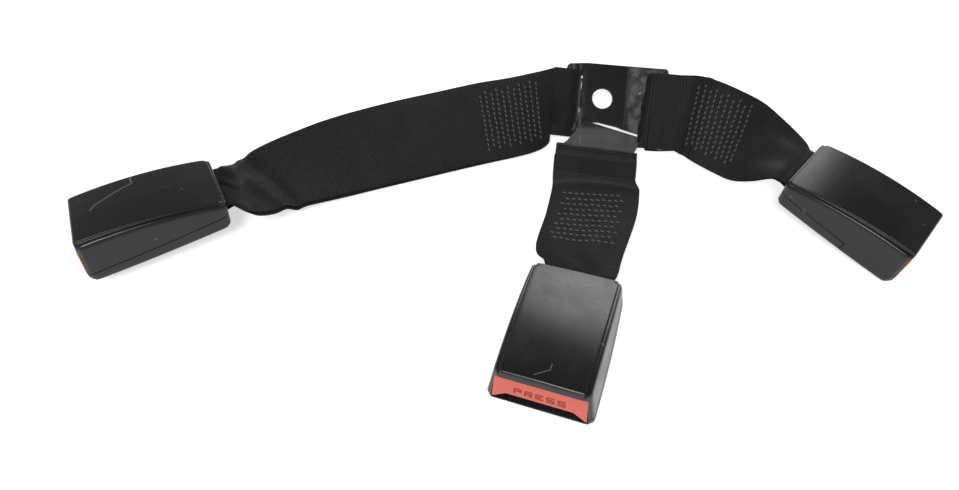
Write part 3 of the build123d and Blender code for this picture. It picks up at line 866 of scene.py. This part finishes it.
def shell_mesh():
    """The whole shell with its wall, before it is parted at the seam."""
    rear_wall = 2.2
    throat_edge = 0.3
    opening_edge = 0.25
    edge_depth = 0.3
    throat = block_keys(throat_half, throat_low, throat_half, throat_high)
    wide_half = throat_half + throat_edge
    wide_throat = block_keys(wide_half, throat_low - throat_edge, wide_half, throat_high + throat_edge)
    opening = block_keys(opening_low_half, opening_low, opening_top_half, opening_top)
    wide_opening = block_keys(
        opening_low_half + opening_edge,
        opening_low - opening_edge,
        opening_top_half + opening_edge,
        opening_top + opening_edge,
    )
    rings = [ring_at(0.0, throat, rear_wall), ring_at(0.0, throat, edge_depth)]
    rings.append(ring_at(0.0, wide_throat, 0.0))
    rings.extend(rim_rings(0.0, 1.0))
    count = 44
    for n in range(1, count):
        share = n / count
        if rim_round < shell_length * share < shell_length - rim_round:
            rings.append(ring_at(share, outer_keys(share, 0.0)))
    rings.extend(reversed(rim_rings(1.0, -1.0)))
    rings.append(ring_at(1.0, wide_opening, 0.0))
    rings.append(ring_at(1.0, opening, -edge_depth))
    rings.append(ring_at(1.0, opening, -opening_depth))
    inner_share = 1.0 - (opening_depth + 1.0) / shell_length
    for share in (inner_share, 0.6, 0.4, 0.2):
        rings.append(ring_at(share, outer_keys(share, wall)))
    rings.append(ring_at(0.0, outer_keys(0.0, wall), rear_wall))
    rings = [[round_ends(p) for p in ring] for ring in rings]
    return skin(rings, closed_path=True)


def seam_side(shift, level):
    """Everything on one side of the seam, which rises a little towards the rear."""
    slope = seam_rise / shell_length
    rear_z = seam_height + shift + slope * (shell_length - far_back)
    front_z = seam_height + shift + slope * (shell_length - far_out)
    outline = [(far_back, rear_z), (far_out, front_z), (far_out, level), (far_back, level)]
    return prism(outline, -far_out, far_out, axis=1)


def block(x_span, y_span, z_span):
    """A plain block between these limits."""
    x0, x1 = x_span
    y0, y1 = y_span
    return prism([(x0, y0), (x1, y0), (x1, y1), (x0, y1)], *z_span)


def cheek(side):
    """One of the two ramps that guide the tongue into the mouth, cut to pass under the button."""
    nose_gap = 0.9
    front = nose_x(ear_low) - nose_gap
    outline = [
        (cheek_start, side * cheek_inner),
        (front, side * cheek_front_inner),
        (front, side * cheek_outer),
        (cheek_start, side * cheek_outer),
    ]
    ramp = make_object("ramp", prism(outline, cheek_foot, cheek_top))
    # The cut follows the button's foot, its ear and the slope between them
    under_button = [
        (side * 12.0, button_low + 0.6),
        (side * 12.7, button_low - cheek_gap),
        (side * 16.6, ear_low - cheek_gap),
        (side * 22.0, ear_low - cheek_gap),
        (side * 22.0, button_low + 4.0),
        (side * 12.0, button_low + 4.0),
    ]
    cut(ramp, [prism(under_button, 50.0, 80.0, axis=0)])
    return take_mesh(ramp)


def cover_meshes():
    """The shell parted into its top cover and its bottom cover, with a fine gap at the seam."""
    gap = seam_gap / 2.0
    everywhere = (far_back, far_out)
    across = (-far_out, far_out)
    top = make_object("top_cover_source", shell_mesh())
    bottom = make_object("bottom_cover_source", shell_mesh())
    below = make_object("below_seam", seam_side(gap, far_back))
    beside_strip = (-far_out, strip_side - gap)
    cut(below, [block((strip_end + gap, far_out), beside_strip, (2.0 * far_back, far_out))])
    under_step = block(everywhere, across, (far_back, strip_step + gap))
    cut(top, [take_mesh(below), under_step])
    strip = block((strip_end - gap, far_out), (-far_out, strip_side + gap), (strip_step - gap, far_out))
    cut(bottom, [seam_side(-gap, far_out), strip])
    join_in(bottom, [cheek(1), cheek(-1)])
    return top, bottom


# Press button


def button_outline(grow):
    """Outline of the button's face, with its two ears, larger by grow."""
    keys = [
        (Vector((0.0, button_low - grow)), 0.0),
        (Vector((ear_inner, button_low - grow)), 0.5),
        (Vector((ear_half - 0.5, ear_low - grow)), 0.25),
        (Vector((ear_half + grow, ear_low - grow + 0.3)), 0.2),
        (Vector((button_top_half + grow, button_top + grow)), 0.5),
        (Vector((0.0, button_top + grow)), 0.0),
    ]
    return full_outline(half_outline(keys, (8, 4, 1, 6, 10), 3))


def button_mesh():
    """The hollow button with its word cut in, the letters' floors painted darker as shade, and the two arms
    behind it.
    """
    hollow_start = 40.0
    beyond_ears = 30.0
    # Rounded edge of the face: how deep behind the face, and how far outwards
    face_edge = ((0.5, 0.0), (0.25, -0.07), (0.08, -0.22), (0.0, -0.5))
    rings = []
    for depth, grow in ((button_depth, 0.0), *face_edge):
        rings.append([Vector((nose_x(p.y) - depth, p.x, p.y)) for p in button_outline(grow)])
    piece = make_object("press_button_source", skin(rings, capped=True))
    hollow = (hollow_start, nose_x(button_top) - button_face_wall)
    inner_half = button_top_half - button_wall
    spaces = [
        block(hollow, (-inner_half, inner_half), (0.0, button_top - button_wall)),
        block(hollow, (-beyond_ears, beyond_ears), (0.0, button_low + 0.4)),
    ]
    cut(piece, spaces + legend_solids())
    arms = []
    for side in (1, -1):
        inner, outer = side * arm_inner, side * arm_outer
        outline = [(arm_rear, inner), (arm_front, inner), (arm_front, outer), (arm_rear, outer)]
        arms.append(prism(outline, arm_low, arm_high))
    join_in(piece, arms)
    piece.data.materials.append(button_red)
    piece.data.materials.append(legend_painted_shade)
    # Faces inside the cut-in letters take the darker red as painted shade
    for face in piece.data.polygons:
        x, y, z = face.center
        in_word = abs(y) < word_half and word_low < z < word_high
        if in_word and nose_x(z) - 3.0 * legend_depth < x < nose_x(z) - 0.1 * legend_depth:
            face.material_index = 1
    return piece


# Each letter on five by five cells, from its top row down
letter_cells = {
    "P": ("#####", "#...#", "#####", "#....", "#...."),
    "R": ("#####", "#...#", "#####", "#..#.", "#..##"),
    "E": ("#####", "#....", "####.", "#....", "#####"),
    "S": ("#####", "#....", "#####", "....#", "#####"),
}


def letter_solid(letter, left, foot, cell):
    """One letter of square strokes as a clean solid across the button's face."""
    rows = letter_cells[letter][::-1]
    filled = {(c, r) for r, row in enumerate(rows) for c, mark in enumerate(row) if mark == "#"}
    bm = bmesh.new()
    corners = {}

    def corner(c, r, x):
        """The one vertex at this corner of the cells."""
        if (c, r, x) not in corners:
            corners[(c, r, x)] = bm.verts.new((x, left + c * cell, foot + r * cell))
        return corners[(c, r, x)]

    near, far = 1.0, -legend_depth
    for c, r in filled:
        square = ((c, r), (c + 1, r), (c + 1, r + 1), (c, r + 1))
        bm.faces.new([corner(*p, near) for p in square])
        bm.faces.new([corner(*p, far) for p in reversed(square)])
        beside = ((c, r - 1), (c + 1, r), (c, r + 1), (c - 1, r))
        for n, other in enumerate(beside):
            if other not in filled:
                p, q = square[n], square[(n + 1) % 4]
                bm.faces.new((corner(*p, near), corner(*p, far), corner(*q, far), corner(*q, near)))
    bmesh.ops.recalc_face_normals(bm, faces=bm.faces)
    return bm


def legend_solids():
    """The plain word on the button, in square strokes, as solids that cut it in."""
    corner = -2.5 * letter_cell
    lean = atan2(nose_rake, nose_height)
    place = Matrix.Translation((nose_x(legend_middle), 0.0, legend_middle))
    turn = place @ Matrix.Rotation(-lean, 4, "Y")
    solids = []
    for n, letter in enumerate("PRESS"):
        bm = letter_solid(letter, (n - 2) * letter_pitch + corner, corner, letter_cell)
        bmesh.ops.transform(bm, matrix=turn, verts=bm.verts)
        solids.append(bm)
    return solids


# Straps


def direction(heading, lean):
    """A direction from its heading and its rise, in degrees."""
    level = cos(radians(lean))
    return Vector((level * cos(radians(heading)), level * sin(radians(heading)), sin(radians(lean))))


def spline_point(points, place):
    """A smooth line through the points, at a place counted in points."""
    last = len(points) - 1
    n = min(int(place), last - 1)
    share = place - n
    p1, p2 = points[n], points[n + 1]
    p0 = points[n - 1] if n > 0 else p1 + (p1 - p2)
    p3 = points[n + 2] if n + 2 <= last else p2 + (p2 - p1)
    a = (p1 * 3.0 - p0 - p2 * 3.0 + p3) * (share**3)
    b = (p0 * 2.0 - p1 * 5.0 + p2 * 4.0 - p3) * (share**2)
    c = (p2 - p0) * share
    return (p1 * 2.0 + c + b + a) * 0.5


def joint_frame(name):
    """Where a swing joint's axis is, in millimetres, and its direction."""
    joint = joints[name]
    return Vector(joint["pos_m"]) / MM, Vector(joint["axis"]).normalized()


def strap_frames(name):
    """Samples along the strap, and for the bracket's bar and the buckle's bar, which it goes round,
    the centre and the direction in which the strap leaves.

    Each sample has the middle, the width direction, the half width, the distance along the strap
    and the outward direction."""
    start_centre, start_axis = joint_frame(f"{name}_strap_swing")
    end_centre, end_axis = joint_frame(f"{name}_buckle_swing")
    stations = strap_stations[name]
    first = Vector(stations[0][:3])
    wide_first = direction(stations[0][3], stations[0][4])
    if start_axis.dot(wide_first) < 0:
        start_axis = -start_axis
    towards = first - start_centre
    towards = (towards - start_axis * towards.dot(start_axis)).normalized()
    if name == "middle":
        turned, drop = radians(-6.0), radians(2.0)
        towards = Vector((sin(turned), -cos(turned), -sin(drop))).normalized()
    wide_last = direction(stations[-1][3], stations[-1][4])
    if end_axis.dot(wide_last) < 0:
        end_axis = -end_axis
    back = Vector(joints[f"{name}_button_press"]["axis"]).normalized()
    places = [start_centre + towards * loop_reach + start_axis * flare_shift_of[name]]
    widths = [(start_axis, flare_width_of[name])]
    for x, y, z, heading, lean, width in stations:
        places.append(Vector((x, y, z)))
        widths.append((direction(heading, lean), width))
    end_place = end_centre + back * (bar_x + bar_reach)
    bunch_out, bunch_shift, bunch_width = bunch_of[name]
    places.append(end_place + back * bunch_out + end_axis * bunch_shift)
    widths.append((end_axis, bunch_width))
    places.append(end_place)
    widths.append((end_axis, buckle_loop_width))
    lefts = [p - w * (h / 2.0) for p, (w, h) in zip(places, widths)]
    rights = [p + w * (h / 2.0) for p, (w, h) in zip(places, widths)]
    samples = []
    along = 0.0
    before = None
    steps_between = 26
    for n in range((len(places) - 1) * steps_between + 1):
        left = spline_point(lefts, n / steps_between)
        right = spline_point(rights, n / steps_between)
        centre = (left + right) / 2.0
        if before is not None:
            along += (centre - before).length
        before = centre
        samples.append([centre, (right - left).normalized(), (right - left).length / 2.0, along])
    for n, sample in enumerate(samples):
        ahead = samples[min(n + 1, len(samples) - 1)][0] - samples[max(n - 1, 0)][0]
        if n == 0:
            ahead = towards
        if n == len(samples) - 1:
            ahead = -back
        sample.append(ahead.cross(sample[1]).normalized())
    return samples, (start_centre, towards), (end_centre, back)


def loop_path(centre, towards, out, radius, slack, reach):
    """The band's way round a bar: place, outward direction, and how far round it is from 0 to 1."""
    ring = radius + layer / 2.0
    half_gap = layer / 2.0
    span = (reach * reach + half_gap * half_gap) ** 0.5
    tangent = acos(ring / span) + atan2(half_gap, reach)
    steps = 6
    half_turn_steps = 20
    angles = [mix(tangent, pi / 2.0, n / steps) for n in range(steps)]
    places = [(angle, 0.0) for angle in angles]
    for n in range(half_turn_steps + 1):
        places.append((mix(pi / 2.0, 1.5 * pi, n / half_turn_steps), slack))
    places += [(2.0 * pi - angle, 0.0) for angle in reversed(angles)]
    points = []
    for angle, back in places:
        spoke = towards * cos(angle) + out * sin(angle)
        points.append((centre - towards * back + spoke * ring, spoke, angle / (2.0 * pi)))
    return points


def strap_band(name):
    """Closed run of the webbing: upper layer out, round the buckle's bar, lower layer back, and
    round the bracket's bar.

    Each entry has the place, the width direction, the half width, the outward direction, the
    distance along the strap, the side of the layer and how far round a bracket loop it is."""
    samples, start, end = strap_frames(name)
    total = samples[-1][3]
    band = []
    for centre, wide, half, along, out in samples:
        band.append((centre + out * layer_middle, wide, half, out, along, 1.0, 0.0))
    centre, towards = end
    wide, half, _, out = samples[-1][1:]
    for place, spoke, _ in loop_path(centre, towards, out, buckle_loop_radius, 0.0, bar_x + bar_reach):
        band.append((place, wide, half, spoke, total, 0.0, 0.0))
    for centre, wide, half, along, out in reversed(samples):
        aside = wide * second_layer_shift(name, along, total)
        place = centre - out * layer_middle + aside
        band.append((place, wide, half, -out, along, -1.0, 0.0))
    centre, towards = start
    wide, flare_half, _, out = samples[0][1:]
    slot_half = slot_width_of[name] / 2.0
    loop = loop_path(centre, towards, out, bracket_loop_radius, bracket_loop_slack, loop_reach)
    # The webbing is at its narrowest half way round, where it passes through the slot
    for place, spoke, turn in reversed(loop):
        in_slot = smooth_step(turn, 0.41, 0.485) * (1.0 - smooth_step(turn, 0.52, 0.62))
        half = mix(flare_half, slot_half, in_slot)
        aside = wide * (flare_shift_of[name] * (1.0 - in_slot))
        band.append((place + aside, wide, half, spoke, 0.0, 0.0, turn))
    return band, samples, total


def second_layer_shift(name, along, total):
    """How far the lower layer is sewn on to one side."""
    most = {"left": 1.5, "right": -1.0, "middle": -1.2}[name]
    return most * smooth_step(along, 20.0, 50.0) * smooth_step(total - along, 2.0, 20.0)


def loop_lift(name, turn, share):
    """The loose loop stands out from the bracket in front of its slot, more at its lower end."""
    front = smooth_step(turn, 0.24, 0.38) * (1.0 - smooth_step(turn, 0.44, 0.495))
    lower = {"left": -0.3 * share, "right": -share, "middle": 0.6}[name]
    wave = noise.noise(Vector((turn * 9.0, share * 2.3, 7.0)))
    return front * loop_bulge_of[name] * (0.75 + 0.4 * lower + 0.5 * wave)


def rest_on_floor(point):
    """Webbing near the floor flattens out on it."""
    level = FLOOR / MM
    soft = 2.5
    if point.z < level + soft:
        point = point.copy()
        point.z = level + soft * exp((point.z - level - soft) / soft)
    return point


def ridge(value, middle, width):
    """A rounded ridge of height 1 at the middle."""
    return exp(-(((value - middle) / width) ** 2))


def crease(name, along, total, share):
    """The sharper folds of each strap, where it bends at the bracket and at its buckle."""
    if name == "left":
        near = ridge(along, total - 27.0 + 9.0 * share, 3.2) * 1.6
        deep = -ridge(along, total - 17.0 + 13.0 * share, 4.0) * 1.7
        small = ridge(share, -0.1 + (along - total + 8.0) / 40.0, 0.14) * 0.9
        return near + deep + small * smooth_step(along, total - 18.0, total - 9.0)
    if name == "right":
        return ridge(along, 11.0 + 2.0 * share, 2.0) * 1.5 - ridge(along, 4.5, 2.5) * 0.8
    return ridge(along, 6.0 + 2.5 * share * share, 2.6) * 0.9


def ripple(name, along, total, share):
    """Small waves of worn webbing, growing where it gathers into the buckle."""
    seed = {"left": 3.0, "right": 11.0, "middle": 23.0}[name]
    fade = smooth_step(along, 2.0, 16.0) * smooth_step(total - along, 1.0, 9.0)
    gather = smooth_step(along, total - 34.0, total - 12.0)
    wave = noise.noise(Vector((along / 26.0, share * 1.1, seed))) * 0.5
    fine = noise.noise(Vector((along / 9.0, share * 2.6, seed + 5.0))) * 0.12
    fold = cos(share * pi * 2.2 + seed) * 0.75 * gather
    crest = crease(name, along, total, share)
    return (wave + fine + fold) * fade + crest


def strap_mesh(name):
    """The band as a thin closed mesh with a map in millimetres."""
    band, samples, total = strap_band(name)
    across = 28
    edge_thinning = 0.72
    underside_shift = 500.0
    bm = bmesh.new()
    uv_layer = bm.loops.layers.uv.new("webbing")
    rings = []
    maps = []
    run = 0.0
    before = None
    for place, wide, half, out, along, layer_side, turn in band:
        if before is not None:
            run += (place - before).length
        before = place
        ring = []
        marks = []
        base_out = out if layer_side >= 0 else -out
        for face in (1.0, -1.0):
            for n in range(across + 1):
                share = (n / across * 2.0 - 1.0) * face
                edge = 1.0 - abs(share) ** 10 * edge_thinning
                if layer_side:
                    lift = ripple(name, along, total, share)
                else:
                    lift = loop_lift(name, turn, share)
                point = place + wide * (share * half) + base_out * lift
                point = point + out * (face * layer / 2.0 * edge)
                ring.append(bm.verts.new(rest_on_floor(point) * MM))
                marks.append((share * full_width / 2.0, run + (0.0 if face > 0 else underside_shift)))
        rings.append(ring)
        maps.append(marks)
    count = len(rings[0])
    closing = run + (band[0][0] - before).length
    for r in range(len(rings)):
        s = (r + 1) % len(rings)
        for n in range(count):
            m = (n + 1) % count
            face = bm.faces.new((rings[r][n], rings[r][m], rings[s][m], rings[s][n]))
            ahead = closing - maps[-1][0][1] if s == 0 else 0.0
            corners = (maps[r][n], maps[r][m], maps[s][m], maps[s][n])
            for loop, (u, v), later in zip(face.loops, corners, (0, 0, 1, 1)):
                if s == 0 and later:
                    v = maps[r][n][1] + ahead
                loop[uv_layer].uv = (u, v)
    bmesh.ops.recalc_face_normals(bm, faces=bm.faces)
    mark_sharp(bm, angle=60.0)
    return make_object(f"{name}_strap", bm), samples, total


# Stitches


def stitch_tree():
    """Small thread stitches on points that carry their own direction."""
    tree = bpy.data.node_groups.new("thread_stitches", "GeometryNodeTree")
    tree.interface.new_socket("Geometry", in_out="INPUT", socket_type="NodeSocketGeometry")
    for label, value in (("Stitch Length", stitch_length * MM), ("Thread Radius", stitch_radius * MM)):
        socket = tree.interface.new_socket(label, in_out="INPUT", socket_type="NodeSocketFloat")
        socket.default_value = value
    tree.interface.new_socket("Geometry", in_out="OUTPUT", socket_type="NodeSocketGeometry")
    nodes, links = tree.nodes, tree.links
    entry, leave = nodes.new("NodeGroupInput"), nodes.new("NodeGroupOutput")
    bead = nodes.new("GeometryNodeMeshUVSphere")
    bead.inputs["Segments"].default_value = 8
    bead.inputs["Rings"].default_value = 6
    bead.inputs["Radius"].default_value = 1.0
    size = nodes.new("ShaderNodeCombineXYZ")
    half = nodes.new("ShaderNodeMath")
    half.operation = "MULTIPLY"
    half.inputs[1].default_value = 0.5
    links.new(entry.outputs["Stitch Length"], half.inputs[0])
    links.new(half.outputs[0], size.inputs["X"])
    links.new(entry.outputs["Thread Radius"], size.inputs["Y"])
    links.new(entry.outputs["Thread Radius"], size.inputs["Z"])
    turn = nodes.new("FunctionNodeAxesToRotation")
    turn.primary_axis = "X"
    turn.secondary_axis = "Z"
    for label, socket in (("along", "Primary Axis"), ("out", "Secondary Axis")):
        stored = nodes.new("GeometryNodeInputNamedAttribute")
        stored.data_type = "FLOAT_VECTOR"
        stored.inputs["Name"].default_value = label
        links.new(stored.outputs["Attribute"], turn.inputs[socket])
    spread = nodes.new("GeometryNodeInstanceOnPoints")
    links.new(entry.outputs["Geometry"], spread.inputs["Points"])
    links.new(bead.outputs["Mesh"], spread.inputs["Instance"])
    links.new(turn.outputs["Rotation"], spread.inputs["Rotation"])
    links.new(size.outputs["Vector"], spread.inputs["Scale"])
    real = nodes.new("GeometryNodeRealizeInstances")
    links.new(spread.outputs["Instances"], real.inputs["Geometry"])
    shade = nodes.new("GeometryNodeSetShadeSmooth")
    links.new(real.outputs["Geometry"], shade.inputs["Geometry"])
    finish = nodes.new("GeometryNodeSetMaterial")
    finish.inputs["Material"].default_value = thread_black
    links.new(shade.outputs["Geometry"], finish.inputs["Geometry"])
    links.new(finish.outputs["Geometry"], leave.inputs["Geometry"])
    return tree


thread_stitches = stitch_tree()


def sample_at(samples, along):
    """Middle, width direction, half width and outward direction at a distance along the strap."""
    for n in range(len(samples) - 1):
        if samples[n + 1][3] >= along:
            share = (along - samples[n][3]) / max(samples[n + 1][3] - samples[n][3], 1e-6)
            centre = samples[n][0].lerp(samples[n + 1][0], share)
            return centre, samples[n][1], samples[n][2], samples[n][4]
    return samples[-1][0], samples[-1][1], samples[-1][2], samples[-1][4]


def sew(name, samples, total):
    """The sewn block that joins the strap's layers, seen on its upper side and its lower one."""
    start, rows, row_pitch, per_row, pitch, offset = stitch_blocks[name]
    points, alongs, outs = [], [], []
    for row in range(rows):
        along = start + row * row_pitch
        for n in range(per_row):
            stagger = 0.35 if row % 2 else -0.35
            aside = (n - (per_row - 1) / 2.0) * pitch + offset + stagger * pitch
            jitter = noise.noise(Vector((row * 1.7, n * 1.3, 4.0)))
            centre, wide, half, out = sample_at(samples, along + jitter * 0.5)
            share = aside / half
            lift = ripple(name, along, total, share)
            ahead = wide.cross(out)
            lean = (wide + ahead * (0.28 + jitter * 0.25)).normalized()
            for face in (1.0, -1.0):
                place = centre + wide * aside + out * (lift + face * (layer + 0.1))
                points.append(rest_on_floor(place) * MM)
                alongs.append(lean)
                outs.append(out * face)
    mesh = bpy.data.meshes.new(f"{name}_stitches")
    mesh.from_pydata([tuple(p) for p in points], [], [])
    for label, values in (("along", alongs), ("out", outs)):
        attribute = mesh.attributes.new(label, "FLOAT_VECTOR", "POINT")
        for n, value in enumerate(values):
            attribute.data[n].vector = value
    piece = bpy.data.objects.new(f"{name}_stitches", mesh)
    bpy.context.scene.collection.objects.link(piece)
    modifier = piece.modifiers.new("stitches", "NODES")
    modifier.node_group = thread_stitches
    bake_modifiers(piece)
    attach(piece, f"{name}_strap")


# Setting the pieces down


def buckle_matrix(name):
    """From a buckle's own millimetres to the set's metres, worked out from its joints."""
    bar, axis_y = joint_frame(f"{name}_buckle_swing")
    axis_x = -Vector(joints[f"{name}_button_press"]["axis"]).normalized()
    axis_z = axis_x.cross(axis_y).normalized()
    origin = bar - axis_x * bar_x - axis_z * bar_z
    turn = Matrix((axis_x, axis_y, axis_z)).transposed().to_4x4()
    return Matrix.Scale(MM, 4) @ Matrix.Translation(origin) @ turn


top_source, bottom_source = cover_meshes()
button_source = button_mesh()
for name in ("left", "right", "middle"):
    place = buckle_matrix(name)
    set_down(
        f"{name}_top_shell",
        top_source.data,
        place,
        finishes=[shell_black[name]],
        body=f"{name}_shell",
        node=f"{name}_top_cover",
    )
    set_down(
        f"{name}_bottom_shell",
        bottom_source.data,
        place,
        finishes=[lower_black],
        body=f"{name}_shell",
        node=f"{name}_bottom_cover",
    )
    set_down(
        f"{name}_button",
        button_source.data,
        place,
        finishes=[button_red, legend_painted_shade],
        body=f"{name}_button",
        node=f"{name}_press_button",
    )
    strap, strap_samples, strap_total = strap_mesh(name)
    strap.data.materials.append(webbing_black)
    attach(strap, f"{name}_strap")
    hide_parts(f"{name}_webbing")
    sew(name, strap_samples, strap_total)
for source in (top_source, bottom_source, button_source):
    bpy.data.objects.remove(source)

node_finish = {
    "frame": plated_steel,
    "webbing_bar": plated_steel,
    "latch_pin": plated_steel,
    "latch": dark_steel,
    "lock_slider": natural_plastic,
    "ejector": natural_plastic,
    "ejector_spring": dark_steel,
    "button_spring": dark_steel,
    "bracket": bracket_black,
}
for label, node in frame["nodes"].items():
    finish = label.split("_", 1)[1]
    if finish in node_finish:
        node.data.materials.clear()
        node.data.materials.append(node_finish[finish])


# Floor, light and camera


def make_floor():
    """A white floor that keeps the set's shadow."""
    bm = bmesh.new()
    bmesh.ops.create_grid(bm, x_segments=1, y_segments=1, size=4.0)
    bmesh.ops.translate(bm, vec=(0, 0, FLOOR), verts=bm.verts)
    glow = 0.6
    floor = make_object("floor", bm)
    material = bpy.data.materials.new("floor_white")
    material.use_nodes = True
    tree = material.node_tree
    shader = tree.nodes["Principled BSDF"]
    shader.inputs["Base Color"].default_value = (0.86, 0.86, 0.86, 1.0)
    shader.inputs["Roughness"].default_value = 0.9
    shader.inputs["Specular IOR Level"].default_value = 0.1
    shader.inputs["Emission Color"].default_value = (1.0, 1.0, 1.0, 1.0)
    path = tree.nodes.new("ShaderNodeLightPath")
    seen = add_math(tree, "MAXIMUM", path.outputs["Is Camera Ray"], path.outputs["Is Glossy Ray"])
    seen = add_math(tree, "MAXIMUM", seen, path.outputs["Is Transmission Ray"])
    tree.links.new(add_math(tree, "MULTIPLY", seen, glow), shader.inputs["Emission Strength"])
    floor.data.materials.append(material)


def make_world():
    """A soft surround that darkens overhead."""
    world = bpy.data.worlds.new("studio")
    bpy.context.scene.world = world
    world.use_nodes = True
    tree = world.node_tree
    background = tree.nodes["Background"]
    background.inputs["Color"].default_value = (1.0, 1.0, 1.0, 1.0)
    where = tree.nodes.new("ShaderNodeTexCoord").outputs["Generated"]
    split = tree.nodes.new("ShaderNodeSeparateXYZ")
    tree.links.new(where, split.inputs[0])
    tree.links.new(add_range(tree, split.outputs["Z"], 0.0, 0.7, 0.5, 0.14), background.inputs["Strength"])


def make_lamp(name, place, target, size, power):
    """A square lamp that faces its target."""
    data = bpy.data.lights.new(name, "AREA")
    data.shape = "SQUARE"
    data.size = size
    data.energy = power
    lamp = bpy.data.objects.new(name, data)
    lamp.location = place
    lamp.rotation_euler = (Vector(target) - Vector(place)).to_track_quat("-Z", "Y").to_euler()
    bpy.context.scene.collection.objects.link(lamp)


def make_camera():
    """At the photograph's viewing point, turned and tipped as it was."""
    place = Vector((-0.068, -0.28379, 0.22841))
    down = radians(53.17)
    tip = radians(3.0)
    ahead = Vector((0.0, cos(down), -sin(down)))
    level = Vector((1.0, 0.0, 0.0))
    upright = Vector((0.0, sin(down), cos(down)))
    side = level * cos(tip) + upright * sin(tip)
    up = upright * cos(tip) - level * sin(tip)
    data = bpy.data.cameras.new("camera")
    data.lens = 22.38
    data.sensor_width = 36.0
    data.clip_start = 0.01
    camera = bpy.data.objects.new("camera", data)
    turn = Matrix((side, up, -ahead)).transposed().to_4x4()
    camera.matrix_world = Matrix.Translation(place) @ turn
    bpy.context.scene.collection.objects.link(camera)
    bpy.context.scene.camera = camera


make_floor()
make_world()
make_lamp("back_softbox", (0.35, 1.25, 0.75), (0.0, 0.0, 0.0), 0.8, 9.0)
make_lamp("front_softbox", (-0.35, -0.95, 1.1), (0.0, -0.05, 0.0), 0.6, 12.0)
make_camera()

bpy.context.scene.view_settings.view_transform = "Standard"
